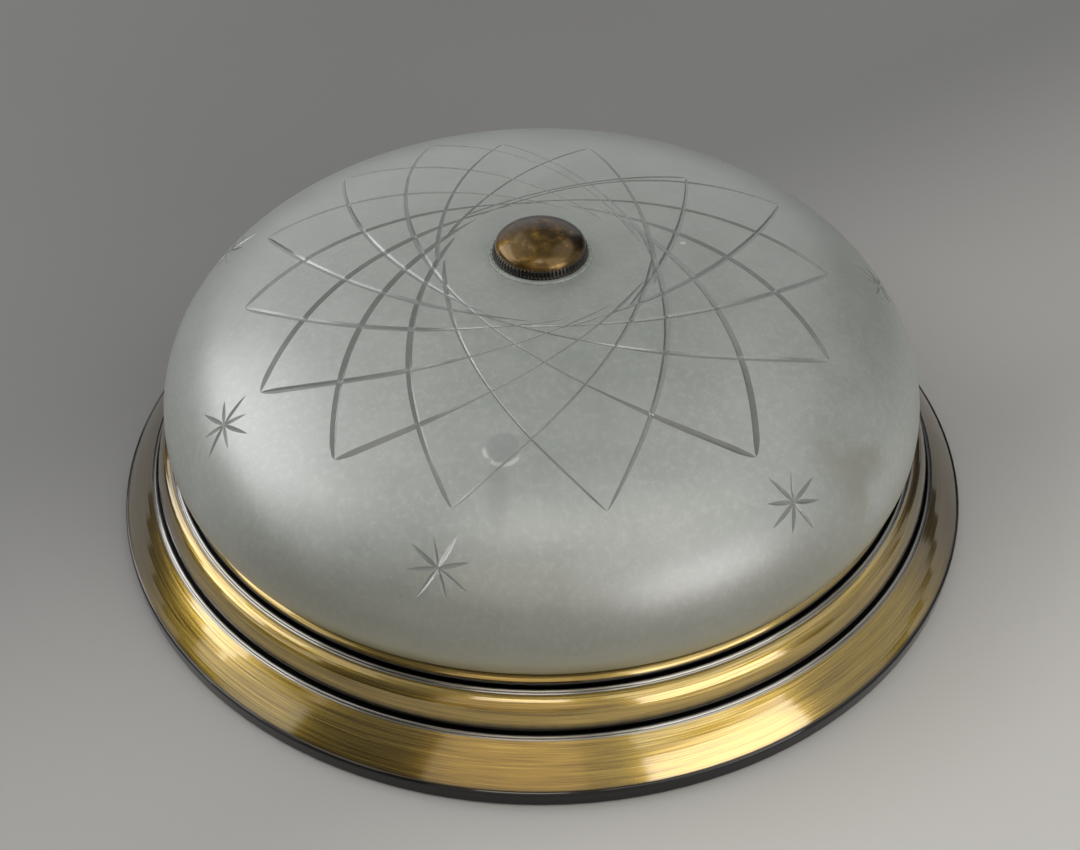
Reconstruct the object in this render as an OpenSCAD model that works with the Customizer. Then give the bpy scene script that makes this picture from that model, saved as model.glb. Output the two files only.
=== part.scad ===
// Flush ceiling light: a frosted glass dome in a stepped brass ring.
// The light lies on its back: the ceiling is the plane z = 0 and +Z points down into the room.

/* [Ring] */
// Outside diameter of the brass ring
ring_d = 350; // [330:1:370]
// Thickness of the ring's spun sheet and of the pan's sheet
sheet_t = 1; // [0.8:0.1:1.2]
// Width of the turned-in edge that lies on the ceiling
back_flange_w = 4; // [3:0.5:8]
// Height of the straight rim
rim_h = 6.8; // [5:0.2:8]
// Radius of the rim's two rounded edges
rim_round = 1.2; // [1:0.1:1.6]
// Width of the outer band
outer_band_w = 11.8; // [10:0.2:14]
// Rise of the outer band from the rim to the first step
outer_band_rise = 12.7; // [9:0.1:14]
// Crown of the outer band above a straight line
outer_band_crown = 0.5; // [0.2:0.1:1]
// Width of each step, a crease on both sides of a fine fillet
step_w = 2.9; // [2.4:0.1:3.4]
// Radius of the fine fillet in each step
fillet_r = 0.8; // [0.5:0.05:0.9]
// Depth of the creases
crease_d = 0.4; // [0.2:0.1:0.6]
// Width of the convex second band
second_band_w = 6.8; // [5.5:0.1:8]
// Rise of the convex second band
second_band_rise = 12.4; // [10:0.2:14]
// Radius of the round bead next to the glass
bead_r = 2.9; // [2.6:0.1:3.4]
// Height of the bead's centre above the second step
bead_lift = 1.2; // [0.6:0.1:2]
// Width of the seat inside the bead
seat_w = 16; // [14:0.5:20]
// Depth of the seat below the bead's centre
seat_drop = 6.4; // [5:0.2:8]

/* [Glass] */
// Wall of the glass shade
glass_t = 4; // [3:0.5:5]
// Gap between the bead and the collar of the glass
collar_gap = 1.4; // [1:0.1:2.5]
// Height of the collar at the edge of the glass
collar_h = 6.5; // [6:0.5:8]
// Radius of the corner between collar and dome
neck_round = 2; // [1.5:0.1:3]
// How far the dome reaches past that corner
dome_overhang = 7.8; // [6:0.2:9]
// Height of the tucked-in lower part of the dome
dome_tuck = 10.3; // [8:0.1:13]
// Height of the dome above its widest place
dome_h = 60.5; // [52:0.5:66]
// Squareness of the dome towards its widest place
dome_n = 3.35; // [2.5:0.05:4.5]
// Squareness of the dome towards its flat top
dome_m = 2.05; // [1.8:0.05:2.6]
// Diameter of the hole for the knob's bush
glass_hole_d = 12; // [11.6:0.1:13]
// Thickness of the pads under the glass
pad_t = 1.5; // [1:0.1:2.5]
// Length of each pad
pad_len = 12; // [8:1:16]
// Number of pads
pad_count = 6; // [4:1:8]

/* [Pan] */
// Height of the pan's floor above the ceiling
pan_lift = 8; // [7:0.5:9]
// Width of the sloping wall between the pan's floor and its flange
pan_slope_w = 14; // [12:1:18]
// Width of the flange under the ring's seat
pan_flange_w = 13; // [11.5:0.5:14]
// Number of rivets that hold the ring to the pan
rivet_count = 6; // [4:1:8]
// Diameter of the rivet shanks
rivet_d = 3; // [2.4:0.1:3.2]

/* [Rod and knob] */
// Diameter of the threaded hollow rod
rod_d = 10; // [9:0.5:10]
// Bore of the rod
rod_bore_d = 6.4; // [5.6:0.1:7]
// Width over flats of the rod's nuts
rod_nut_af = 14; // [13:0.5:15]
// Thickness of the rod's nuts
rod_nut_h = 3; // [2.5:0.5:4]
// Free length of rod behind its back nut
rod_tail = 1.5; // [1:0.5:1.8]
// Diameter of the knob
knob_d = 37; // [34:1:39]
// Height of the knob
knob_h = 10.5; // [10:0.5:13]
// Height of the knob's reeded edge
knob_edge_h = 3.4; // [3:0.2:5]
// Taper of the reeded edge, taken off the radius
knob_edge_taper = 0.6; // [0.4:0.1:1.2]
// Number of reeds round the knob
knob_reeds = 76; // [40:2:80]
// Depth of the grooves between the reeds
reed_depth = 0.4; // [0.3:0.05:0.6]
// Depth of the knob's threaded bore
knob_bore_depth = 8; // [7:0.5:8]
// Length of rod held in the knob
rod_grip = 6; // [5:0.5:6.5]
// Width of the wall round the hollow under the knob
knob_wall = 3; // [2.5:0.1:3.5]
// Depth of the hollow under the knob
knob_hollow_h = 1.5; // [1:0.1:2]
// Diameter of the clear bush's flange
bush_d = 40; // [38:1:44]
// Thickness of the clear bush's flange
bush_t = 1; // [0.9:0.1:2]

/* [Lampholders and bulbs] */
// Distance of each lampholder's axis from the middle
holder_offset = 47; // [44:1:50]
// Height of the lampholder's axis above the pan's floor
holder_lift = 35; // [34:0.5:37]
// Distance of each bracket from the middle line
bracket_reach = 62; // [60:1:66]
// Width of each bracket
bracket_w = 26; // [24:1:30]
// Thickness of each bracket
bracket_t = 1.2; // [1:0.1:1.5]
// Length of each bracket's foot
bracket_foot = 24; // [20:1:28]
// Length of each lampholder's body
holder_len = 50; // [46:1:54]
// Diameter of each lampholder's body
holder_d = 40; // [38:0.5:42]
// Diameter of the lampholder's neck at the bracket
holder_neck_d = 24; // [20:1:28]
// Length of the lampholder's straight neck
holder_neck_len = 7; // [5:0.5:9]
// Length of the flare from the lampholder's neck to its body
holder_flare_len = 12; // [10:0.5:13]
// Depth of the lampholder's socket
socket_depth = 26; // [25:0.5:28]
// Outside diameter of the threaded cap on the bulb
cap_d = 26.4; // [26:0.1:26.6]
// Length of the threaded cap on the bulb
cap_len = 22; // [20:0.5:24]
// Diameter of the bulb's envelope
bulb_d = 60; // [56:1:62]
// Length of the whole bulb with its cap
bulb_len = 106; // [100:1:110]

/* [Wiring] */
// Length of the terminal block along its wires
block_l = 16; // [14:0.5:18]
// Pitch of the three ways in the terminal block
block_pitch = 11; // [10.5:0.1:12]
// Height of the terminal block
block_h = 12; // [11:0.5:14]
// Distance of the terminal block's middle from the rod
block_x = 32; // [30:1:36]
// Bore of the brass terminal tubes
tube_bore_d = 3.2; // [3:0.1:3.4]
// Diameter of the insulated leads
lead_d = 2.2; // [1.8:0.1:2.4]
// Bore of the grommet for the supply cable
grommet_bore_d = 9; // [8:0.5:10]
// Distance of the grommet from the rod
grommet_x = 30; // [26:1:34]

/* [Ceiling bar] */
// Length of the slotted ceiling bar
bar_len = 116; // [112:1:124]
// Width of the slotted ceiling bar
bar_w = 20; // [18:1:24]
// Thickness of the slotted ceiling bar
bar_t = 2; // [1.5:0.1:2.5]
// Distance between the middles of the two ceiling slots
slot_pitch = 60; // [50:1:64]
// Length of each ceiling slot
slot_len = 20; // [12:1:24]
// Width of each ceiling slot
slot_w = 5; // [4:0.1:5.5]
// Distance between the two screws that hold the pan to the bar
bar_screw_pitch = 100; // [96:1:102]
// Diameter of the machine screws
screw_d = 4; // [3:0.1:4.2]

/* [Hidden] */
// Clearance in radius of every threaded or plain fit
fit = 0.05;
// Facets of large and small round parts
$fn = 96;
small_fn = 32;
// Length of the cutters for holes in thin sheet
cut_h = 12;

// The ring from its rim inwards
ring_r = ring_d / 2;
step1_r = ring_r - rim_round - outer_band_w;
step1_z = rim_h + outer_band_rise;
band2_r = step1_r - step_w;
band2_z = step1_z + crease_d;
step2_r = band2_r - second_band_w;
step2_z = band2_z + second_band_rise;
bead_out_r = step2_r - step_w;
bead_mid_r = bead_out_r - bead_r;
bead_in_r = bead_mid_r - bead_r;
bead_z = step2_z + bead_lift;
seat_z = bead_z - seat_drop;
seat_in_r = bead_in_r - seat_w;

// The glass on its pads
glass_z = seat_z + pad_t;
collar_r = bead_in_r - collar_gap;
neck_z = glass_z + collar_h;
tuck_r = collar_r + neck_round;
dome_r = tuck_r + dome_overhang;
dome_mid_z = neck_z + neck_round + dome_tuck;
dome_top_z = dome_mid_z + dome_h;
hole_r = glass_hole_d / 2;
pad_r = collar_r - glass_t / 2;

// The pan under the ring's seat
pan_z = pan_lift;
floor_z = pan_z + sheet_t;
pan_flange_z = seat_z - sheet_t;
pan_flange_out_r = collar_r;
pan_flange_in_r = pan_flange_out_r - pan_flange_w - 2 * sheet_t;
pan_floor_r = pan_flange_in_r - pan_slope_w;
rivet_r = seat_in_r + rivet_d * 1.6;
rivet_head_r = rivet_d * 0.9;
screw_head_r = screw_d * 0.9;
screw_head_h = screw_d * 0.6;
bracket_screw_len = bracket_t + sheet_t + screw_d * 1.2;

// The rod from behind the pan up into the knob
rod_r = rod_d / 2;
lock_t = 0.8;
rod_bottom_z = pan_z - rod_nut_h - rod_tail;
knob_z = dome_top_z + bush_t;
rod_top_z = knob_z + rod_grip;
knob_boss_r = rod_r + 3.5;
bush_bore_r = rod_r + 2 * fit;
bush_spigot_r = hole_r - 0.3;

// The lampholders, each along its own X axis from the bracket
holder_z = floor_z + holder_lift;
holder_r = holder_d / 2;
socket_r = cap_d / 2 + 1.6;
shell_wall = 0.5;
shell_in_r = cap_d / 2 + 0.2;
socket_x = holder_len - socket_depth;
contact_t = 1;
nipple_r = rod_r;
nipple_len = 9;
cap_x = socket_x + contact_t + 0.2;
tip_h = 1.2;
insulator_h = 3;
bulb_r = bulb_d / 2;
bulb_end_x = cap_x + bulb_len;
bulb_ball_x = bulb_end_x - bulb_r;
neck_r = cap_d / 2 - 0.2;

// The wiring
lead_r = lead_d / 2;
tube_in_r = tube_bore_d / 2;
tube_out_r = tube_in_r + 0.7;
block_tube_z = floor_z + 5.5;
way_w = block_pitch - 3.6;
block_web_h = 5;
block_screw_r = 1.2;
lead_floor_z = floor_z + lead_r + 0.6;
earth_x = -56;
grommet_r = grommet_bore_d / 2;
groove_r = grommet_r + 1.75;
tag_t = 0.4;
earth_screw_len = tag_t + sheet_t + screw_d * 1.15;
tag_wall = 0.5;
tag_z = floor_z + lead_r + tag_wall + 0.1;

// Points of an arc about a centre, from one angle to another
function arc(cx, cy, r, from, to, steps) =
  [for (i = [0 : steps]) let (a = from + (to - from) * i / steps) [cx + r * cos(a), cy + r * sin(a)]];

// Points of an ellipse's arc about a centre
function oval(cx, cy, rx, ry, from, to, steps) =
  [for (i = [0 : steps]) let (a = from + (to - from) * i / steps) [cx + rx * cos(a), cy + ry * sin(a)]];

// A crowned line from p to q, with the bulge on its left-hand side turned outwards
function crowned(p, q, bulge, steps) =
  let (d = q - p, n = [-d[1], d[0]] / norm(d))
  [for (i = [1 : steps]) let (t = i / steps) p + d * t - n * bulge * 4 * t * (1 - t)];

// The step between two bands: crease, fine round fillet, crease
function step_line(r, z) = concat(
  [[r - crease_d / 2, z - crease_d]],
  arc(r - step_w / 2, z - crease_d / 4, fillet_r, 0, 180, 8),
  [[r - step_w + crease_d / 2, z - crease_d]]);

// Half section of the ring's face, from the turned-in edge over the rim and inwards to the seat
ring_face = concat(
  [[ring_r - back_flange_w, 0]],
  arc(ring_r - rim_round, rim_round, rim_round, -90, 0, 5),
  arc(ring_r - rim_round, rim_h - rim_round, rim_round, 0, 90, 5),
  crowned([ring_r - rim_round, rim_h], [step1_r, step1_z], outer_band_crown, 6),
  step_line(step1_r, step1_z),
  oval(step2_r, band2_z, second_band_w, second_band_rise, 0, 90, 12),
  step_line(step2_r, step2_z),
  arc(bead_mid_r, bead_z, bead_r, 0, 180, 16),
  arc(bead_in_r - sheet_t, seat_z + sheet_t, sheet_t, 0, -90, 4),
  [[seat_in_r, seat_z]]);

// Half section of the sheet's back, from the seat outwards to the turned-in edge
band_angle = atan2(outer_band_rise, outer_band_w);
rim_back_z = rim_h - sheet_t / cos(band_angle) - (rim_round - sheet_t) * tan(band_angle);
ring_back = concat(
  [[seat_in_r, seat_z - sheet_t]],
  [[bead_in_r + sheet_t, seat_z - sheet_t]],
  arc(bead_mid_r, bead_z, bead_r - sheet_t, 180, 0, 10),
  [[bead_mid_r + bead_r - sheet_t, step2_z - sheet_t - crease_d]],
  oval(step2_r, band2_z - sheet_t, second_band_w - sheet_t, second_band_rise - crease_d, 85, 0, 8),
  [[band2_r - sheet_t, step1_z - sheet_t - crease_d]],
  [[step1_r, step1_z - sheet_t - crease_d]],
  [[ring_r - sheet_t, rim_back_z]],
  [[ring_r - sheet_t, sheet_t]],
  [[ring_r - back_flange_w, sheet_t]]);

// The dome's curve: a flat top that rolls over a round shoulder into a steep side
function dome_pt(t) = [dome_r * pow(sin(t), 2 / dome_n), dome_mid_z + dome_h * pow(cos(t), 2 / dome_m)];
function dome_normal(t) =
  let (a = dome_pt(max(t - 0.4, 0.02)), b = dome_pt(min(t + 0.4, 89.98)), d = (b - a) / norm(b - a))
  [-d[1], d[0]];
function dome_in_pt(t) = dome_pt(t) - glass_t * dome_normal(t);
dome_steps = 26;
// The curve starts at the angle at which it passes the edge of the hole
hole_angle = asin(pow(hole_r / dome_r, dome_n / 2));
function dome_angle(i) = hole_angle + (90 - hole_angle) * pow(i / dome_steps, 1.1);

glass_outside = concat(
  [[hole_r, dome_top_z]],
  [for (i = [1 : dome_steps - 1]) dome_pt(dome_angle(i))],
  oval(tuck_r, dome_mid_z, dome_overhang, dome_tuck, 0, -90, 7),
  arc(tuck_r, neck_z, neck_round, 90, 180, 5),
  [[collar_r, glass_z]]);

glass_inside = concat(
  [[collar_r - glass_t, glass_z]],
  arc(tuck_r, neck_z, neck_round + glass_t, 180, 90, 6),
  oval(tuck_r, dome_mid_z, dome_overhang - glass_t, dome_tuck - glass_t, -80, 0, 5),
  [for (i = [dome_steps - 1 : -1 : 2]) dome_in_pt(dome_angle(i))],
  [[hole_r, dome_top_z - glass_t]]);

// A smooth curve through hand-placed points, each stretch cut into equal steps
function spline_pt(a, b, c, d, t) = 0.5 * (2 * b + (c - a) * t
  + (2 * a - 5 * b + 4 * c - d) * t * t + (3 * b - a - 3 * c + d) * t * t * t);
function route(p, n) = concat(
  [for (i = [0 : len(p) - 2]) let (a = p[max(i - 1, 0)], d = p[min(i + 2, len(p) - 1)])
    for (j = [0 : n - 1]) spline_pt(a, p[i], p[i + 1], d, j / n)],
  [p[len(p) - 1]]);
function unit(v) = v / norm(v);

// A round tube along a route, as one closed skin
module tube_along(path, r, sides) {
  n = len(path);
  rings = [for (i = [0 : n - 1])
    let (
      d = unit(path[min(i + 1, n - 1)] - path[max(i - 1, 0)]),
      u = unit(cross(d, abs(d[2]) > 0.8 ? [1, 0, 0] : [0, 0, 1])),
      v = cross(d, u))
    for (k = [0 : sides - 1]) path[i] + r * (u * cos(360 * k / sides) + v * sin(360 * k / sides))];
  sides_faces = [for (i = [0 : n - 2]) for (k = [0 : sides - 1])
    let (m = (k + 1) % sides, a = i * sides)
    for (f = [[a + k, a + k + sides, a + m], [a + m, a + k + sides, a + m + sides]]) f];
  caps = [[for (k = [0 : sides - 1]) k], [for (k = [sides - 1 : -1 : 0]) (n - 1) * sides + k]];
  polyhedron(points = rings, faces = concat(sides_faces, caps));
}

module hex(af, h) {
  cylinder(d = af / cos(30), h = h, $fn = 6);
}

module hole(r) {
  translate([0, 0, -cut_h / 2]) cylinder(r = r, h = cut_h, $fn = small_fn);
}

// A pan-headed screw: its head stands on z = 0 and its shank points down
module screw(d, len, head_r, head_h) {
  difference() {
    union() {
      rotate_extrude($fn = small_fn)
        polygon(concat([[0, 0], [head_r, 0]],
          oval(head_r * 0.55, head_h * 0.4, head_r * 0.45, head_h * 0.6, 0, 90, 4), [[0, head_h]]));
      translate([0, 0, -len]) cylinder(d = d, h = len, $fn = small_fn);
    }
    translate([0, 0, head_h]) cube([head_r * 1.3, head_h * 0.35, head_h], center = true);
    translate([0, 0, head_h]) cube([head_h * 0.35, head_r * 1.3, head_h], center = true);
  }
}

// One lampholder side: local X starts at the bracket and runs along the bulb
module at_holder(i) {
  rotate([0, 0, i == 1 ? 0 : 180]) translate([-bracket_reach, holder_offset, holder_z]) children();
}

// Turns a body of revolution about Z to lie along X
module along_x() {
  rotate([0, 90, 0]) children();
}

// Places of the two screws in each bracket's foot, in the frame of the first side
foot_screws = [for (s = [-1, 1])
  [-bracket_reach + bracket_foot * 0.65, holder_offset + s * bracket_w * 0.3]];

module trim_ring() {
  color([0.62, 0.48, 0.2]) difference() {
    rotate_extrude() polygon(concat(ring_face, ring_back));
    for (i = [0 : rivet_count - 1]) rotate([0, 0, 30 + i * 360 / rivet_count])
      translate([rivet_r, 0, seat_z]) hole(rivet_d / 2 + fit);
  }
}

module base_pan() {
  color([0.9, 0.9, 0.88]) difference() {
    rotate_extrude() polygon([
      [rod_r + 0.2, pan_z], [pan_floor_r, pan_z], [pan_flange_in_r, pan_flange_z - sheet_t],
      [pan_flange_out_r, pan_flange_z - sheet_t], [pan_flange_out_r, pan_flange_z],
      [pan_flange_in_r - sheet_t * 0.6, pan_flange_z], [pan_floor_r - sheet_t * 0.6, floor_z],
      [rod_r + 0.2, floor_z]]);
    for (i = [0 : rivet_count - 1]) rotate([0, 0, 30 + i * 360 / rivet_count])
      translate([rivet_r, 0, pan_flange_z]) hole(rivet_d / 2 + fit);
    for (a = [0, 180], p = foot_screws) rotate([0, 0, a])
      translate([p[0], p[1], floor_z]) hole(screw_d / 2 + fit);
    for (s = [-1, 1]) translate([0, s * bar_screw_pitch / 2, floor_z]) hole(screw_d / 2 + 0.25);
    for (s = [-1, 1]) translate([-block_x, s * block_pitch / 2, floor_z]) hole(block_screw_r + fit);
    translate([earth_x, 0, floor_z]) hole(screw_d / 2 + fit);
    translate([grommet_x, 0, floor_z]) hole(groove_r + fit);
  }
}

module pan_rivets() {
  color("silver") for (i = [0 : rivet_count - 1]) rotate([0, 0, 30 + i * 360 / rivet_count])
    translate([rivet_r, 0, 0]) {
      translate([0, 0, pan_flange_z - sheet_t]) cylinder(d = rivet_d, h = 2 * sheet_t, $fn = small_fn);
      translate([0, 0, seat_z])
        cylinder(r1 = rivet_head_r, r2 = rivet_head_r * 0.6, h = rivet_d * 0.4, $fn = small_fn);
      translate([0, 0, pan_flange_z - sheet_t - rivet_d * 0.3])
        cylinder(r = rivet_head_r, h = rivet_d * 0.3, $fn = small_fn);
    }
}

module glass_shade() {
  color([0.75, 0.8, 0.76]) rotate_extrude() polygon(concat(glass_outside, glass_inside));
}

module shade_pads() {
  color([0.85, 0.85, 0.82]) for (i = [0 : pad_count - 1]) rotate([0, 0, i * 360 / pad_count])
    translate([pad_r - glass_t / 2, -pad_len / 2, seat_z]) cube([glass_t, pad_len, pad_t]);
}

module centre_rod() {
  color([0.75, 0.68, 0.42]) difference() {
    translate([0, 0, rod_bottom_z]) cylinder(r = rod_r, h = rod_top_z - rod_bottom_z, $fn = small_fn * 2);
    translate([0, 0, rod_bottom_z - 1])
      cylinder(d = rod_bore_d, h = rod_top_z - rod_bottom_z + 2, $fn = small_fn * 2);
  }
}

module rod_nut() {
  difference() {
    intersection() {
      hex(rod_nut_af, rod_nut_h);
      cylinder(r1 = rod_nut_af * 0.62, r2 = rod_nut_af * 0.52, h = rod_nut_h, $fn = small_fn * 2);
    }
    hole(rod_r + fit);
  }
}

module rod_nuts() {
  color([0.75, 0.68, 0.42]) {
    translate([0, 0, floor_z + lock_t]) rod_nut();
    translate([0, 0, pan_z]) mirror([0, 0, 1]) rod_nut();
  }
}

module lock_washer() {
  color("silver") translate([0, 0, floor_z]) difference() {
    union() {
      cylinder(r = rod_nut_af * 0.56, h = lock_t, $fn = small_fn * 2);
      for (a = [0 : 30 : 330]) rotate([0, 0, a]) translate([rod_nut_af * 0.56, 0, lock_t / 2])
        cube([2.4, 1.6, lock_t], center = true);
    }
    hole(rod_r + fit);
  }
}

// The knob: a reeded edge under a low dome, hollow below round a bored boss
module knob() {
  edge_r = knob_d / 2;
  top_r = edge_r - knob_edge_taper;
  lip = 0.4;
  lean = atan(knob_edge_taper / (knob_edge_h - 2 * lip));
  color([0.36, 0.24, 0.12]) translate([0, 0, knob_z]) difference() {
    rotate_extrude() polygon(concat(
      [[0, 0], [edge_r - lip, 0], [edge_r, lip], [top_r, knob_edge_h - lip]],
      oval(0, knob_edge_h, top_r - lip, knob_h - knob_edge_h, 0, 90, 14)));
    for (i = [0 : knob_reeds - 1]) rotate([0, 0, i * 360 / knob_reeds])
      translate([edge_r, 0, 2 * lip]) rotate([0, -lean, 0]) cylinder(r = reed_depth, h = knob_edge_h, $fn = 16);
    translate([0, 0, -1]) cylinder(r = rod_r + fit, h = knob_bore_depth + 1, $fn = small_fn * 2);
    translate([0, 0, -1]) difference() {
      cylinder(r = edge_r - knob_wall, h = knob_hollow_h + 1);
      cylinder(r = knob_boss_r, h = knob_hollow_h + 2, $fn = small_fn * 2);
    }
  }
}

module knob_bush() {
  color([0.9, 0.92, 0.9]) difference() {
    union() {
      translate([0, 0, dome_top_z]) rotate_extrude()
        polygon(concat([[0, 0], [bush_d / 2, 0]],
          oval(bush_d / 2 - 0.6, bush_t - 0.8, 0.6, 0.8, 0, 90, 4), [[0, bush_t]]));
      translate([0, 0, dome_top_z - glass_t + 0.5])
        cylinder(r = bush_spigot_r, h = glass_t, $fn = small_fn * 2);
    }
    translate([0, 0, dome_top_z - glass_t - 1])
      cylinder(r = bush_bore_r, h = glass_t + bush_t + 2, $fn = small_fn * 2);
  }
}

// A bent strip: foot on the pan, upright with a round end for the lampholder
module bracket() {
  bend = bracket_t + 1;
  difference() {
    union() {
      translate([bend - bracket_t, -bracket_w / 2, -holder_lift])
        cube([bracket_foot - bend, bracket_w, bracket_t]);
      translate([-bracket_t, -bracket_w / 2, -holder_lift + bend])
        cube([bracket_t, bracket_w, holder_lift - bend]);
      translate([-bracket_t, 0, 0]) along_x() cylinder(d = bracket_w, h = bracket_t);
      intersection() {
        translate([bend - bracket_t, bracket_w / 2, -holder_lift + bend]) rotate([90, 0, 0]) difference() {
          cylinder(r = bend, h = bracket_w, $fn = small_fn * 2);
          translate([0, 0, -1]) cylinder(r = bend - bracket_t, h = bracket_w + 2, $fn = small_fn * 2);
        }
        translate([-bracket_t, -bracket_w / 2, -holder_lift]) cube([bend, bracket_w, bend]);
      }
    }
    along_x() hole(nipple_r + fit);
    for (p = foot_screws)
      translate([p[0] + bracket_reach, p[1] - holder_offset, -holder_lift]) hole(screw_d / 2 + fit);
  }
}

module bracket_1() {
  color([0.8, 0.8, 0.82]) at_holder(1) bracket();
}

module bracket_2() {
  color([0.8, 0.8, 0.82]) at_holder(2) bracket();
}

module bracket_screws() {
  color("silver") for (a = [0, 180], p = foot_screws)
    rotate([0, 0, a]) translate([p[0], p[1], floor_z + bracket_t])
      screw(screw_d, bracket_screw_len, screw_head_r, screw_head_h);
}

// A lampholder: a stepped neck at the bracket, a ribbed skirt and a deep round socket
module holder_body() {
  neck = holder_neck_d / 2;
  rib_w = 2;
  flare_x = holder_neck_len + holder_flare_len;
  rib_x = flare_x + rib_w;
  difference() {
    union() {
      along_x() rotate_extrude() polygon(concat(
        [[0, 0], [neck - 0.6, 0], [neck, 0.6], [neck, holder_neck_len]],
        oval(neck, flare_x, holder_r - neck, holder_flare_len, -90, 0, 8),
        [[holder_r, holder_len - 1.5], [holder_r - 1.5, holder_len], [0, holder_len]]));
      for (a = [0 : 30 : 330]) rotate([a, 0, 0]) translate([rib_x, holder_r - 0.4, -rib_w / 2])
        cube([holder_len - rib_w - rib_x, 1.2, rib_w]);
    }
    translate([socket_x, 0, 0]) along_x() cylinder(r = socket_r, h = socket_depth + 1);
    translate([-1, 0, 0]) along_x() cylinder(r = nipple_r + fit, h = nipple_len - 1, $fn = small_fn * 2);
    for (s = [-1, 1]) translate([nipple_len - 3, s * 1.3, 0])
      along_x() cylinder(r = lead_r + 0.15, h = holder_len, $fn = small_fn);
  }
}

module holder_body_1() {
  color([0.92, 0.92, 0.9]) at_holder(1) holder_body();
}

module holder_body_2() {
  color([0.92, 0.92, 0.9]) at_holder(2) holder_body();
}

// The threaded shell that grips the bulb's cap
module holder_shell() {
  translate([socket_x + 4, 0, 0]) along_x() difference() {
    union() {
      cylinder(r = socket_r - fit, h = 2);
      cylinder(r = shell_in_r + shell_wall, h = socket_depth - 6);
    }
    translate([0, 0, -1]) cylinder(r = shell_in_r, h = socket_depth);
  }
}

module holder_shell_1() {
  color([0.78, 0.76, 0.66]) at_holder(1) holder_shell();
}

module holder_shell_2() {
  color([0.78, 0.76, 0.66]) at_holder(2) holder_shell();
}

// The centre contact: a tongue across the bottom of the socket
module holder_contact() {
  translate([socket_x, 0, 0]) {
    translate([0, -4, 3.5]) cube([contact_t * 0.5, 8, 8]);
    translate([0, -3, -3]) cube([contact_t, 6, 6.5]);
  }
}

module holder_contact_1() {
  color([0.8, 0.7, 0.4]) at_holder(1) holder_contact();
}

module holder_contact_2() {
  color([0.8, 0.7, 0.4]) at_holder(2) holder_contact();
}

module holder_nipple() {
  translate([-bracket_t - rod_nut_h - 1, 0, 0]) along_x() difference() {
    cylinder(r = nipple_r, h = bracket_t + rod_nut_h + nipple_len - 2, $fn = small_fn * 2);
    translate([0, 0, -1]) cylinder(d = rod_bore_d, h = 40, $fn = small_fn * 2);
  }
}

module holder_nipple_1() {
  color([0.75, 0.68, 0.42]) at_holder(1) holder_nipple();
}

module holder_nipple_2() {
  color([0.75, 0.68, 0.42]) at_holder(2) holder_nipple();
}

module holder_nuts() {
  color([0.75, 0.68, 0.42]) for (i = [1, 2]) at_holder(i)
    translate([-bracket_t, 0, 0]) rotate([0, -90, 0]) rod_nut();
}

// The envelope: a neck that swells into a ball, hollow with a thin wall
module bulb_glass() {
  wall = 1;
  seat = cap_x + tip_h + insulator_h + cap_len + 0.3;
  ball = bulb_r;
  join = 52;
  neck_out = [[neck_r, seat], [neck_r, seat + 2]];
  swell_x = seat + 2;
  ball_x = bulb_ball_x - ball * cos(join);
  ball_r = ball * sin(join);
  swell = [for (i = [1 : 7]) let (t = i / 8)
    [neck_r + (ball_r - neck_r) * t * t * (3 - 2 * t), swell_x + (ball_x - swell_x) * t]];
  outside = concat(neck_out, swell, [for (p = arc(0, bulb_ball_x, ball, join - 90, 90, 16)) p]);
  inside = concat([for (p = arc(0, bulb_ball_x, ball - wall, 90, join - 90, 16)) p],
    [for (i = [6 : -1 : 0]) [swell[i][0] - wall, swell[i][1]]],
    [[neck_r - wall, seat + 2], [neck_r - wall, seat]]);
  along_x() rotate_extrude() polygon(concat(outside, inside));
}

module bulb_glass_1() {
  color([0.95, 0.95, 0.92]) at_holder(1) bulb_glass();
}

module bulb_glass_2() {
  color([0.95, 0.95, 0.92]) at_holder(2) bulb_glass();
}

// The threaded cap: four rounded turns, open at the envelope's end
module bulb_cap() {
  x0 = cap_x + tip_h + insulator_h;
  turns = 4;
  pitch = 3.6;
  crest = cap_d / 2;
  threads = [for (i = [0 : turns * 6]) let (t = i / 6)
    [crest - 0.45 * (1 - cos(360 * t)), x0 + 2.5 + pitch * t]];
  along_x() rotate_extrude() polygon(concat(
    [[0, x0], [crest - 3, x0], [crest - 0.6, x0 + 1.6]], threads,
    [[crest, x0 + cap_len], [crest - 0.4, x0 + cap_len], [crest - 1.4, x0 + cap_len - 1],
     [crest - 1.4, x0 + 3], [0, x0 + 3]]));
}

module bulb_cap_1() {
  color([0.82, 0.82, 0.8]) at_holder(1) bulb_cap();
}

module bulb_cap_2() {
  color([0.82, 0.82, 0.8]) at_holder(2) bulb_cap();
}

module bulb_insulator() {
  x0 = cap_x + tip_h;
  along_x() rotate_extrude() polygon([[0, x0], [5, x0], [cap_d / 2 - 3.4, x0 + insulator_h], [0, x0 + insulator_h]]);
}

module bulb_insulator_1() {
  color([0.12, 0.12, 0.13]) at_holder(1) bulb_insulator();
}

module bulb_insulator_2() {
  color([0.12, 0.12, 0.13]) at_holder(2) bulb_insulator();
}

module bulb_tip() {
  along_x() rotate_extrude($fn = small_fn * 2) polygon(concat(
    [for (p = oval(0, cap_x + tip_h, 4, tip_h, 0, -90, 5)) p], [[0, cap_x + tip_h]]));
}

module bulb_tip_1() {
  color([0.75, 0.76, 0.76]) at_holder(1) bulb_tip();
}

module bulb_tip_2() {
  color([0.75, 0.76, 0.76]) at_holder(2) bulb_tip();
}

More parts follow.
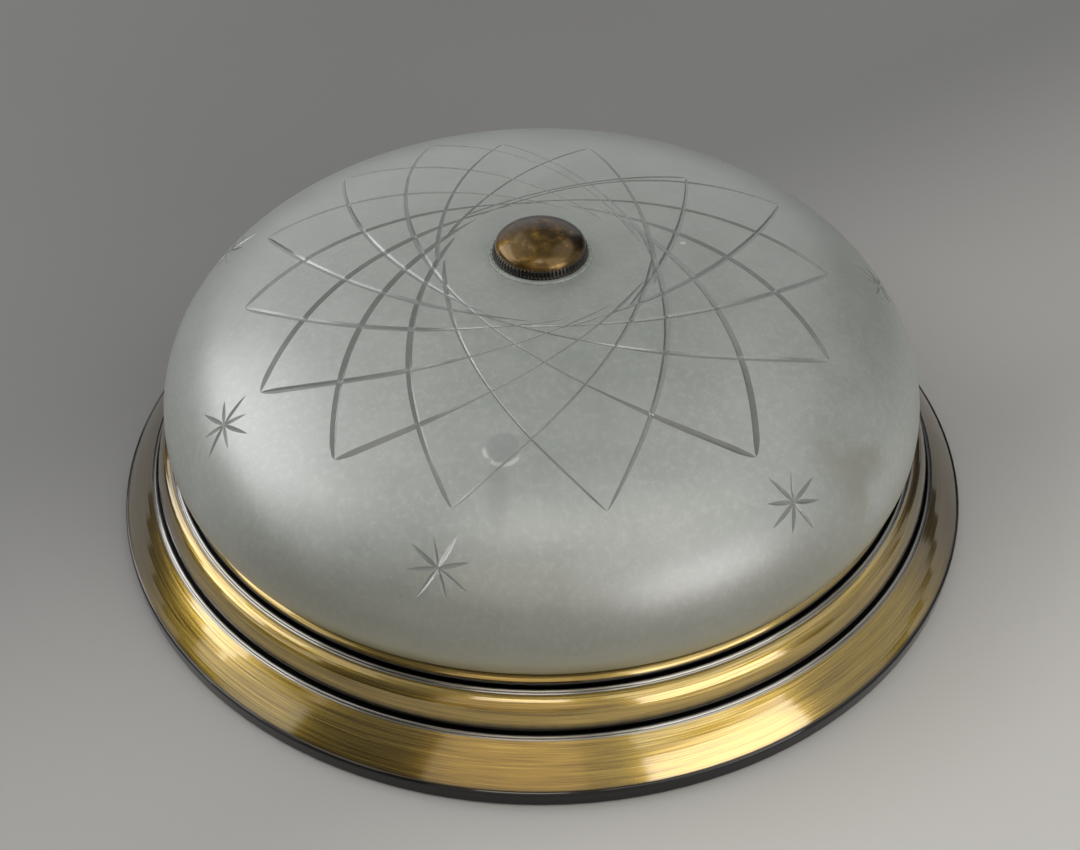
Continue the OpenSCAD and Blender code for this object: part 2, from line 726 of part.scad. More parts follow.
// Three ways side by side, each with a tunnel for its tube and two screw wells
module terminal_block() {
  color([0.93, 0.92, 0.88]) translate([-block_x, 0, 0]) difference() {
    union() {
      for (w = [-1 : 1]) translate([0, w * block_pitch, 0]) {
        translate([-block_l / 2, -way_w / 2, floor_z]) cube([block_l, way_w, block_h * 0.7]);
        for (s = [-1, 1]) translate([s * block_l / 4, 0, floor_z])
          cylinder(r = way_w / 2 - 0.2, h = block_h, $fn = small_fn * 2);
      }
      translate([-block_l * 0.25, -block_pitch, floor_z]) cube([block_l * 0.5, 2 * block_pitch, block_web_h]);
    }
    for (w = [-1 : 1]) translate([0, w * block_pitch, 0]) {
      translate([-block_l, 0, block_tube_z])
        along_x() cylinder(r = tube_out_r + fit, h = block_l * 2, $fn = small_fn);
      for (s = [-1, 1]) translate([s * block_l / 4, 0, block_tube_z])
        cylinder(r = 1.8, h = block_h, $fn = small_fn);
    }
    for (s = [-1, 1]) translate([0, s * block_pitch / 2, floor_z]) hole(block_screw_r + fit);
  }
}

module terminal_tubes() {
  color([0.8, 0.68, 0.35]) for (w = [-1 : 1])
    translate([-block_x, w * block_pitch, block_tube_z]) difference() {
    translate([-block_l / 2 + 1, 0, 0]) along_x() cylinder(r = tube_out_r, h = block_l - 2, $fn = small_fn);
    translate([-block_l, 0, 0]) along_x() cylinder(r = tube_in_r, h = block_l * 2, $fn = small_fn);
    for (s = [-1, 1]) translate([s * block_l / 4, 0, 0]) cylinder(r = 1.3, h = 10, $fn = small_fn);
  }
}

module terminal_screws() {
  tip_z = block_tube_z + lead_r + 0.1;
  head_z = block_tube_z + tube_out_r + 0.3;
  top_z = floor_z + block_h - 0.6;
  color([0.8, 0.8, 0.8]) for (w = [-1 : 1], s = [-1, 1])
    translate([-block_x + s * block_l / 4, w * block_pitch, 0]) difference() {
      union() {
        translate([0, 0, tip_z]) cylinder(r = 1.25, h = top_z - tip_z, $fn = small_fn);
        translate([0, 0, head_z]) cylinder(r = 1.7, h = top_z - head_z, $fn = small_fn);
      }
      translate([0, 0, top_z]) cube([4, 0.6, 1.6], center = true);
    }
}

module block_screws() {
  color("silver") for (s = [-1, 1]) translate([-block_x, s * block_pitch / 2, floor_z + block_web_h])
    screw(block_screw_r * 2, block_web_h + sheet_t + 2, block_screw_r * 1.4, block_screw_r * 1.2);
}

// The leads: each runs from inside its terminal tube along the pan to its lampholder
tube_mouth = block_l / 2 - 4;
up_z = holder_z;
back_x = -bracket_reach - bracket_t - rod_nut_h;
socket_lead_x = -bracket_reach + socket_x - 1;
lead_1_live = [[-block_x - tube_mouth, block_pitch, block_tube_z], [-block_x - 9, block_pitch, block_tube_z],
  [-block_x - 16, block_pitch + 2, lead_floor_z], [-60, 18, lead_floor_z], [-76, 34, lead_floor_z + 2],
  [-78, holder_offset + 1, 28], [-74, holder_offset + 1.3, up_z - 3], [back_x - 1, holder_offset + 1.3, up_z],
  [socket_lead_x, holder_offset + 1.3, up_z]];
lead_1_neutral = [[-block_x - tube_mouth, -block_pitch, block_tube_z], [-block_x - 9, -block_pitch, block_tube_z],
  [-block_x - 18, -block_pitch + 1, lead_floor_z], [-66, 2, lead_floor_z], [-74, 22, lead_floor_z],
  [-80, 38, lead_floor_z + 4], [-79, holder_offset - 3, 28], [-74, holder_offset - 1.3, up_z - 3],
  [back_x - 1, holder_offset - 1.3, up_z], [socket_lead_x, holder_offset - 1.3, up_z]];
lead_2_live = [[-block_x + tube_mouth, block_pitch, block_tube_z], [-block_x + 9, block_pitch, block_tube_z],
  [-block_x + 16, block_pitch + 1, lead_floor_z], [0, 14, lead_floor_z], [30, 12, lead_floor_z],
  [62, 0, lead_floor_z], [76, -24, lead_floor_z + 1], [78, -holder_offset + 2, 28],
  [74, -holder_offset + 1.3, up_z - 3], [-back_x + 1, -holder_offset + 1.3, up_z],
  [-socket_lead_x, -holder_offset + 1.3, up_z]];
lead_2_neutral = [[-block_x + tube_mouth, -block_pitch, block_tube_z], [-block_x + 9, -block_pitch, block_tube_z],
  [-block_x + 16, -block_pitch - 1, lead_floor_z], [0, -14, lead_floor_z], [30, -13, lead_floor_z],
  [58, -12, lead_floor_z], [74, -32, lead_floor_z + 2], [79, -holder_offset - 2, 28],
  [74, -holder_offset - 1.3, up_z - 3], [-back_x + 1, -holder_offset - 1.3, up_z],
  [-socket_lead_x, -holder_offset - 1.3, up_z]];
lead_to_earth = [[-block_x - tube_mouth, 0, block_tube_z], [-block_x - 8, 0, block_tube_z],
  [-block_x - 11, 0, floor_z + 4], [earth_x + 9.8, 0, tag_z], [earth_x + 7.8, 0, tag_z], [earth_x + 5.2, 0, tag_z]];

module lead_live_1() {
  color([0.45, 0.26, 0.14]) tube_along(route(lead_1_live, 2), lead_r, 8);
}

module lead_neutral_1() {
  color([0.2, 0.35, 0.65]) tube_along(route(lead_1_neutral, 2), lead_r, 8);
}

module lead_live_2() {
  color([0.45, 0.26, 0.14]) tube_along(route(lead_2_live, 2), lead_r, 8);
}

module lead_neutral_2() {
  color([0.2, 0.35, 0.65]) tube_along(route(lead_2_neutral, 2), lead_r, 8);
}

module lead_earth() {
  color([0.35, 0.6, 0.2]) tube_along(route(lead_to_earth, 2), lead_r, 8);
}

// A ring tongue with a crimped barrel round the earth lead's end
module earth_tag() {
  color([0.82, 0.8, 0.72]) difference() {
    union() {
      translate([earth_x, 0, floor_z]) cylinder(r = screw_d / 2 + 2, h = tag_t, $fn = small_fn * 2);
      translate([earth_x, -1.6, floor_z]) cube([6, 3.2, tag_t]);
      translate([earth_x + 4.6, 0, tag_z]) along_x() cylinder(r = lead_r + 0.1 + tag_wall, h = 3.5, $fn = small_fn);
    }
    translate([earth_x, 0, floor_z]) hole(screw_d / 2 + fit);
    translate([earth_x + 4, 0, tag_z]) along_x() cylinder(r = lead_r + 0.1, h = 8, $fn = small_fn);
  }
}

module earth_screw() {
  color([0.8, 0.7, 0.4]) translate([earth_x, 0, floor_z + tag_t]) screw(screw_d, earth_screw_len, screw_head_r, screw_head_h);
}

module cable_grommet() {
  color([0.12, 0.12, 0.12]) translate([grommet_x, 0, 0]) rotate_extrude($fn = small_fn * 2) polygon([
    [grommet_r, pan_z - 2], [groove_r + 1.2, pan_z - 2], [groove_r + 1.8, pan_z - 1.4], [groove_r + 1.8, pan_z],
    [groove_r, pan_z], [groove_r, floor_z], [groove_r + 1.8, floor_z], [groove_r + 1.8, floor_z + 1.2],
    [groove_r + 1, floor_z + 2], [grommet_r, floor_z + 2]]);
}

// A flat bar along Y: round ends, two slots, two tapped holes and a hole for the rod's end
module ceiling_bar() {
  color([0.78, 0.78, 0.74]) difference() {
    union() {
      translate([-bar_w / 2, -bar_len / 2 + bar_w / 2, 0]) cube([bar_w, bar_len - bar_w, bar_t]);
      for (s = [-1, 1]) translate([0, s * (bar_len - bar_w) / 2, 0]) cylinder(d = bar_w, h = bar_t);
    }
    translate([0, 0, -1]) cylinder(r = rod_r + 1.5, h = bar_t + 2, $fn = small_fn * 2);
    for (s = [-1, 1]) {
      translate([0, s * bar_screw_pitch / 2, 0]) hole(screw_d / 2 + fit);
      translate([0, s * slot_pitch / 2, 0]) {
        translate([-slot_w / 2, -(slot_len - slot_w) / 2, -1]) cube([slot_w, slot_len - slot_w, bar_t + 2]);
        for (e = [-1, 1]) translate([0, e * (slot_len - slot_w) / 2, 0]) hole(slot_w / 2);
      }
    }
  }
}

module bar_screws() {
  color([0.8, 0.7, 0.4]) for (s = [-1, 1])
    translate([0, s * bar_screw_pitch / 2, floor_z]) screw(screw_d, floor_z - 0.2, screw_head_r, screw_head_h);
}

trim_ring();
base_pan();
pan_rivets();
glass_shade();
shade_pads();
centre_rod();
rod_nuts();
lock_washer();
knob();
knob_bush();
bracket_1();
bracket_2();
bracket_screws();
holder_body_1();
holder_body_2();
holder_shell_1();
holder_shell_2();
holder_contact_1();
holder_contact_2();
holder_nipple_1();
holder_nipple_2();
holder_nuts();
bulb_glass_1();
bulb_glass_2();
bulb_cap_1();
bulb_cap_2();
bulb_insulator_1();
bulb_insulator_2();
bulb_tip_1();
bulb_tip_2();
terminal_block();
terminal_tubes();
terminal_screws();
block_screws();
lead_live_1();
lead_neutral_1();
lead_live_2();
lead_neutral_2();
lead_earth();
earth_tag();
earth_screw();
cable_grommet();
ceiling_bar();
bar_screws();
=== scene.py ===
import math

import bmesh
import bpy
import numpy as np
from mathutils import Matrix, Vector
from mathutils.geometry import delaunay_2d_cdt


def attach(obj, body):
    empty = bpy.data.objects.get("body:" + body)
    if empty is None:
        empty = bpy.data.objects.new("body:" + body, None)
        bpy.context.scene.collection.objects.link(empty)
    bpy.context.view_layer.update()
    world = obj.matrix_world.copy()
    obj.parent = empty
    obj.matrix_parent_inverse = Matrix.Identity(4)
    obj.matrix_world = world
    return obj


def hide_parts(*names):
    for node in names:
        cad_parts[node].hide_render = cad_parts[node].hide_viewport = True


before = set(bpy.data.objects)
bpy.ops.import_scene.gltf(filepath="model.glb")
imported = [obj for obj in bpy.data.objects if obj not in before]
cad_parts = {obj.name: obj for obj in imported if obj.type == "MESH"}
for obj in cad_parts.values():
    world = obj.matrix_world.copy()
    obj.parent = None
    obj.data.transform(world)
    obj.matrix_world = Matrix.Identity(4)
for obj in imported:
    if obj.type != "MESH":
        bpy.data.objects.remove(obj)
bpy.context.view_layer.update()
for spare in ("Cube", "Light", "Camera"):
    if spare in bpy.data.objects:
        bpy.data.objects.remove(bpy.data.objects[spare])

MM = 0.001
scene = bpy.context.scene

# The camera, with the photograph's frame in pixels
IMAGE_W, IMAGE_H = 1080, 850
CENTRE_X, CENTRE_Y = 537.28, 424.23
FOCAL_PX = 1500.0
SENSOR_WIDTH = 36.0
CLIP_START = 0.01
CAMERA_DISTANCE = 0.6477
CAMERA_ELEVATION = math.radians(42.937)
CAMERA_YAW, CAMERA_PITCH, CAMERA_ROLL = (math.radians(a) for a in (-0.162, -1.380, 0.380))


def make_camera():
    """The camera looks almost at the origin from the front, and its small turns match the photograph."""
    place = Vector((0, -math.cos(CAMERA_ELEVATION), math.sin(CAMERA_ELEVATION))) * CAMERA_DISTANCE
    forward = -place.normalized()
    right = forward.cross(Vector((0, 0, 1))).normalized()
    up = right.cross(forward)
    base = Matrix((right, up, -forward))
    turn = (Matrix.Rotation(CAMERA_ROLL, 3, "Z") @ Matrix.Rotation(CAMERA_PITCH, 3, "X")
            @ Matrix.Rotation(CAMERA_YAW, 3, "Y"))
    world = (turn @ base).transposed().to_4x4()
    world.translation = place
    data = bpy.data.cameras.new("camera")
    data.sensor_width = SENSOR_WIDTH
    data.lens = FOCAL_PX / IMAGE_W * SENSOR_WIDTH
    data.shift_x = (IMAGE_W / 2 - CENTRE_X) / IMAGE_W
    data.shift_y = (CENTRE_Y - IMAGE_H / 2) / IMAGE_W
    data.clip_start = CLIP_START
    camera = bpy.data.objects.new("camera", data)
    camera.matrix_world = world
    scene.collection.objects.link(camera)
    scene.camera = camera


make_camera()


class Shader:
    """A small builder for node trees: every call adds a node and returns its output."""

    def __init__(self, tree):
        self.tree = tree
        self.coords = None

    def add(self, kind, **settings):
        node = self.tree.nodes.new(kind)
        for key, value in settings.items():
            setattr(node, key, value)
        return node

    def plug(self, value, socket):
        if isinstance(value, bpy.types.NodeSocket):
            self.tree.links.new(value, socket)
        elif isinstance(value, (tuple, list)) and len(value) == 3 and socket.type == "RGBA":
            socket.default_value = (*value, 1.0)
        else:
            socket.default_value = value

    def place(self):
        """Object coordinates, in metres."""
        if self.coords is None:
            self.coords = self.add("ShaderNodeTexCoord").outputs["Object"]
        return self.coords

    def shifted(self, x, y):
        """Object coordinates moved sideways, so that one noise doesn't repeat another."""
        node = self.add("ShaderNodeMapping")
        self.plug(self.place(), node.inputs["Vector"])
        node.inputs["Location"].default_value = (x, y, 0.0)
        return node.outputs[0]

    def math(self, op, a, b=0.0, c=0.0):
        node = self.add("ShaderNodeMath", operation=op)
        for value, socket in zip((a, b, c), node.inputs):
            self.plug(value, socket)
        return node.outputs[0]

    def times(self, a, b):
        return self.math("MULTIPLY", a, b)

    def times_add(self, a, b, c):
        return self.math("MULTIPLY_ADD", a, b, c)

    def larger(self, a, b):
        return self.math("MAXIMUM", a, b)

    def length(self, x, y):
        return self.math("SQRT", self.math("ADD", self.times(x, x), self.times(y, y)))

    def xyz(self, vector=None):
        node = self.add("ShaderNodeSeparateXYZ")
        self.plug(vector or self.place(), node.inputs[0])
        return node.outputs

    def vector(self, x, y, z):
        node = self.add("ShaderNodeCombineXYZ")
        for value, socket in zip((x, y, z), node.inputs):
            self.plug(value, socket)
        return node.outputs[0]

    def noise(self, scale, detail=3.0, rough=0.5, vector=None, warp=0.0):
        node = self.add("ShaderNodeTexNoise")
        self.plug(vector or self.place(), node.inputs["Vector"])
        for key, value in (("Scale", scale), ("Detail", detail), ("Roughness", rough), ("Distortion", warp)):
            node.inputs[key].default_value = value
        return node.outputs[0]

    def cells(self, scale):
        """The distance to the nearest of scattered points."""
        node = self.add("ShaderNodeTexVoronoi")
        self.plug(self.place(), node.inputs["Vector"])
        node.inputs["Scale"].default_value = scale
        return node.outputs["Distance"]

    def span(self, value, low, high, to_low=0.0, to_high=1.0, smooth=True):
        """A value's way from low to high, as a number from to_low to to_high."""
        node = self.add("ShaderNodeMapRange", interpolation_type="SMOOTHSTEP" if smooth else "LINEAR")
        for key, number in (("Value", value), ("From Min", low), ("From Max", high),
                            ("To Min", to_low), ("To Max", to_high)):
            self.plug(number, node.inputs[key])
        return node.outputs["Result"]

    def band(self, value, low, high, soft):
        """1 between low and high, 0 outside, with soft edges."""
        rise = self.span(value, low - soft, low + soft)
        fall = self.span(value, high - soft, high + soft, 1.0, 0.0)
        return self.times(rise, fall)

    def ramp(self, value, stops, ease="LINEAR"):
        node = self.add("ShaderNodeValToRGB")
        ramp = node.color_ramp
        ramp.interpolation = ease
        while len(ramp.elements) < len(stops):
            ramp.elements.new(0.5)
        for element, (position, colour) in zip(ramp.elements, stops):
            element.position = position
            element.color = (*colour, 1.0)
        self.plug(value, node.inputs[0])
        return node.outputs[0]

    def mix(self, factor, a, b, blend="MIX"):
        node = self.add("ShaderNodeMix", data_type="RGBA", blend_type=blend)
        sockets = [s for s in node.inputs if s.type == "RGBA"]
        self.plug(factor, node.inputs[0])
        self.plug(a, sockets[0])
        self.plug(b, sockets[1])
        return [s for s in node.outputs if s.type == "RGBA"][0]

    def bump(self, height, distance, strength):
        node = self.add("ShaderNodeBump")
        node.inputs["Strength"].default_value = strength
        node.inputs["Distance"].default_value = distance
        self.plug(height, node.inputs["Height"])
        return node.outputs[0]


class Finish(Shader):
    """A material whose Principled inputs are set by name."""

    def __init__(self, name):
        self.material = bpy.data.materials.new(name)
        self.material.use_nodes = True
        super().__init__(self.material.node_tree)
        self.bsdf = self.tree.nodes["Principled BSDF"]

    def set(self, **values):
        for key, value in values.items():
            self.plug(value, self.bsdf.inputs[key.replace("_", " ")])


# The ring's forms, as radii and heights in metres. A mask goes from 0 to 1 over each pair.
INNER_FOOT_Z, INNER_FOOT_R = (0.0235, 0.0202), (0.1600, 0.1594)
OUTER_FOOT_Z = (0.0082, 0.0066)
BEAD_R = (0.1482, 0.1468)
RIM_R, RIM_Z = (0.1732, 0.1737), (0.0072, 0.0066)
BACK_Z = (0.0012, 0.0008)
FLATS, FLAT_SOFT = ((0.1590, 0.1621), (0.1492, 0.1525)), 0.00018
CREASES, CREASE_SOFT = ((0.1588, 0.1598), (0.1490, 0.1502)), 0.0003
GOLD_STOPS = ((0.0, (0.15, 0.092, 0.013)), (0.3, (0.33, 0.215, 0.031)),
              (0.6, (0.50, 0.335, 0.055)), (1.0, (0.70, 0.51, 0.12)))
PATINA_AND_SHADE_BROWN, BEAD_SHADE_OLIVE = (0.045, 0.027, 0.010), (0.16, 0.115, 0.030)
FLAT_REFLECTION_GREY, BLACK_LACQUER = (0.24, 0.24, 0.235), (0.010, 0.010, 0.011)


def antique_brass():
    """Brushed brass under lacquer: streaks run round the ring, and the creases and the rim are glossy black."""
    s = Finish("antique_brass")
    x, y, z = s.xyz()
    r = s.length(x, y)
    across = s.math("SUBTRACT", r, z)
    east, north = s.math("DIVIDE", x, r), s.math("DIVIDE", y, r)

    def streaks(along, width_mm, shift, detail=2.0):
        """Noise drawn out round the ring."""
        lane = s.times_add(across, 1.0 / MM / width_mm, shift)
        return s.noise(1.0, detail, 0.6, s.vector(s.times(east, along), s.times(north, along), lane))

    fine = streaks(6.0, 0.40, 0.0)
    coarse = streaks(3.0, 1.1, 31.0)
    broad = streaks(2.0, 5.0, 57.0, 1.0)
    cloud = s.noise(20.0, 4.0, 0.6)
    worn = s.times_add(coarse, 0.30, s.times(broad, 0.12))
    worn = s.times_add(cloud, 0.10, s.times_add(fine, 0.58, worn))
    gold = s.ramp(s.span(worn, 0.38, 0.74, smooth=False), GOLD_STOPS)

    inner_foot = s.times(s.span(z, *INNER_FOOT_Z), s.span(r, *INNER_FOOT_R))
    outer_foot = s.times(s.span(z, *OUTER_FOOT_Z), 0.5)
    patina = s.larger(s.times(inner_foot, 0.75), outer_foot)
    patina = s.times(patina, s.span(coarse, 0.25, 0.6, 0.6, 1.0))
    # Painted shade: the ring's left and right sides are darkened towards the same brown as the patina.
    sides = s.span(s.times_add(broad, 0.10, s.math("ABSOLUTE", east)), 0.84, 1.00, 0.0, 0.72)
    gold = s.mix(s.larger(patina, sides), gold, PATINA_AND_SHADE_BROWN)
    # Painted shade: the bead's inner flank and top, under the glass's overhang, are darkened to an olive brown.
    gold = s.mix(s.times(s.span(r, *BEAD_R), 0.72), gold, BEAD_SHADE_OLIVE)
    # Painted reflection: the flats of the steps are greyed to stand in for their silvery reflection.
    flats = s.larger(*(s.band(r, *pair, FLAT_SOFT) for pair in FLATS))
    gold = s.mix(s.times(flats, 0.85), gold, FLAT_REFLECTION_GREY)

    creases = s.larger(*(s.band(r, *pair, CREASE_SOFT) for pair in CREASES))
    rim = s.times(s.span(r, *RIM_R), s.span(z, *RIM_Z))
    dark = s.larger(creases, s.larger(rim, s.span(z, *BACK_Z)))
    rough = s.times_add(fine, 0.10, s.times_add(coarse, 0.06, 0.17))
    s.set(Base_Color=s.mix(dark, gold, BLACK_LACQUER), Metallic=1.0,
          Roughness=s.times_add(dark, -0.12, rough),
          Coat_Weight=s.times_add(dark, -0.65, 1.0), Coat_Roughness=0.06, Coat_IOR=1.9,
          Anisotropic=0.65, Anisotropic_Rotation=0.25,
          Tangent=s.add("ShaderNodeTangent", direction_type="RADIAL", axis="Z").outputs[0],
          Normal=s.bump(s.times_add(coarse, 0.6, fine), 0.00003, 0.22))
    return s.material


# Where the knob's domed top ends and its black reeded edge begins, in metres
REEDED_Z, REEDED_R = (0.1128, 0.1120), (0.0168, 0.0174)
BRONZE_STOPS = ((0.56, (0.007, 0.004, 0.003)), (0.66, (0.038, 0.017, 0.006)),
                (0.76, (0.12, 0.064, 0.013)), (0.88, (0.38, 0.23, 0.045)))
OLIVE_SHEEN, RED_BROWN, BLACK_BRONZE = (0.22, 0.130, 0.018), (0.075, 0.024, 0.014), (0.010, 0.009, 0.009)


def dark_bronze():
    """The knob: mottled brown bronze under thick glossy lacquer, black round the reeds, with a painted olive
    sheen on its front left.
    """
    s = Finish("dark_bronze")
    x, y, z = s.xyz()
    r = s.length(x, y)
    patch = s.noise(130.0, 6.0, 0.68, warp=0.3)
    flakes = s.noise(420.0, 4.0, 0.65, s.shifted(0.7, 0.2))
    tone = s.noise(40.0, 2.0, 0.5, s.shifted(0.31, 0.17))
    # Painted sheen: an olive-gold tint on the knob's front left, fading towards its back right.
    slant = s.math("SUBTRACT", y, s.times(x, -0.5))
    olive = s.span(s.times_add(tone, 0.02, slant), 0.016, 0.001)
    colour = s.ramp(s.times_add(flakes, 0.35, patch), BRONZE_STOPS)
    colour = s.mix(s.times(olive, 0.4), colour, OLIVE_SHEEN)
    red = s.times(s.span(x, 0.0, 0.012), s.span(tone, 0.42, 0.6))
    colour = s.mix(s.times(red, 0.6), colour, RED_BROWN)
    reeded = s.times(s.span(z, *REEDED_Z), s.span(r, *REEDED_R))
    colour = s.mix(s.times(reeded, 0.95), colour, BLACK_BRONZE)
    s.set(Base_Color=colour, Metallic=1.0, Roughness=s.span(patch, 0.35, 0.7, 0.30, 0.44),
          Coat_Weight=0.7, Coat_Roughness=0.13, Coat_IOR=1.5, Normal=s.bump(flakes, 0.00005, 0.35))
    return s.material


# Where the glass changes, in metres. A mask goes from 0 to 1 over each pair.
FRONT_Y = (0.02, -0.10)
DUSTY_Y = (0.06, -0.05)
SHADED_Z, SHADED_Y = (0.082, 0.056), (-0.080, -0.125)
FOOT_Z = (0.058, 0.040)
SCRATCH_Y, SCRATCH_X = (-0.0995, -0.1020), (-0.0060, -0.0085)
# Marks on the glass: ellipses seen from above, in mm
WORN_DISC = {"at": (-13.0, -100.5), "size": (5.5, 5.5), "soft": 0.12}
DRIP = {"at": (-14.5, -117.0), "size": (3.6, 11.0), "soft": 0.45}
SMEAR = {"at": (106.0, -70.0), "size": (15.0, 34.0), "soft": 0.6, "turn": 0.35}
CHIP = {"at": (55.4, 8.6), "size": (1.2, 0.9), "soft": 0.3}


def frosted_glass():
    """Satin-etched glass with a fine grain, dust, smears and a worn spot, painted shade low at the front, and a
    painted reflection of the brass ring towards its foot.
    """
    s = Finish("frosted_glass")
    x, y, z = s.xyz()

    def spot(at, size, soft, turn=0.0):
        """How far from an ellipse's middle (1 on its edge), and a mask that is 1 inside it."""
        c, sn = math.cos(turn), math.sin(turn)
        dx, dy = s.math("SUBTRACT", x, at[0] * MM), s.math("SUBTRACT", y, at[1] * MM)
        u = s.math("ADD", s.times(dx, c / size[0] / MM), s.times(dy, sn / size[0] / MM))
        v = s.math("ADD", s.times(dx, -sn / size[1] / MM), s.times(dy, c / size[1] / MM))
        far = s.length(u, v)
        return far, s.span(far, 1 + soft, 1 - soft)

    mottle = s.noise(55.0, 5.0, 0.6)
    grain = s.noise(2600.0, 2.0, 0.6)
    dust = s.noise(380.0, 4.0, 0.7)
    cloud = s.noise(24.0, 4.0, 0.55, s.shifted(0.4, 0.1))

    colour = s.mix(s.span(mottle, 0.35, 0.7), (0.440, 0.480, 0.440), (0.500, 0.540, 0.500))
    film = s.times(s.span(dust, 0.44, 0.70), s.span(y, *DUSTY_Y, 0.20, 0.70))
    colour = s.mix(film, colour, (0.62, 0.65, 0.62))
    specks = s.times(s.span(s.cells(330.0), 0.12, 0.05), s.span(s.noise(70.0, 2.0), 0.50, 0.58))
    specks = s.times(specks, s.span(y, *FRONT_Y))
    colour = s.mix(s.times(specks, 0.6), colour, (0.86, 0.88, 0.84))
    shaded = s.times(s.span(z, *SHADED_Z), s.span(y, *SHADED_Y))
    colour = s.mix(shaded, colour, (0.58, 0.56, 0.48), "MULTIPLY")
    # Painted reflection: the glass is tinted yellow towards its foot, standing in for the brass ring below it.
    colour = s.mix(s.span(z, *FOOT_Z, 0.0, 0.75), colour, (0.52, 0.49, 0.29))

    far, disc = spot(**WORN_DISC)
    colour = s.mix(s.times(disc, 0.65), colour, (0.34, 0.37, 0.35))
    scratch = s.times(s.band(far, 1.06, 1.32, 0.05), s.span(s.noise(240.0, 3.0), 0.40, 0.52))
    scratch = s.times(scratch, s.times(s.span(y, *SCRATCH_Y), s.span(x, *SCRATCH_X)))
    colour = s.mix(s.times(scratch, 0.9), colour, (0.95, 0.95, 0.92))
    drip = spot(**DRIP)[1]
    colour = s.mix(s.times(drip, 0.55), colour, (0.34, 0.36, 0.33))
    smear = s.times(spot(**SMEAR)[1], s.span(cloud, 0.42, 0.56))
    colour = s.mix(s.times(smear, 0.85), colour, (0.32, 0.32, 0.24))
    colour = s.mix(spot(**CHIP)[1], colour, (0.95, 0.96, 0.94))

    s.set(Base_Color=colour, Roughness=s.span(mottle, 0.3, 0.7, 0.38, 0.46), IOR=1.5,
          Transmission_Weight=0.50, Coat_Weight=1.0, Coat_Roughness=0.36, Coat_IOR=2.2,
          Normal=s.bump(grain, 0.00003, 0.35))
    return s.material


def cut_glass():
    """The faces of the cuts: smooth, nearly clear glass."""
    s = Finish("cut_glass")
    mottle = s.noise(55.0, 5.0, 0.6)
    s.set(Base_Color=s.mix(s.span(mottle, 0.35, 0.7), (0.38, 0.41, 0.38), (0.48, 0.51, 0.48)),
          Roughness=s.span(mottle, 0.3, 0.7, 0.14, 0.24), IOR=1.5, Transmission_Weight=0.72,
          Coat_Weight=1.0, Coat_Roughness=0.16, Coat_IOR=1.8)
    return s.material


def plain(name, low, high, scale, rough=(0.3, 0.45), metal=0.0, bump=None, **extra):
    """A finish of two tones mixed by noise, with uneven gloss and a light bump (scale, height in metres)."""
    s = Finish(name)
    tone = s.noise(scale, 5.0, 0.6, warp=0.2)
    s.set(Base_Color=s.mix(s.span(tone, 0.36, 0.66), low, high), Metallic=metal,
          Roughness=s.span(s.noise(scale * 2.7, 3.0), 0.3, 0.7, *rough), **extra)
    if bump:
        s.set(Normal=s.bump(s.noise(bump[0], 3.0), bump[1], 0.5))
    return s.material


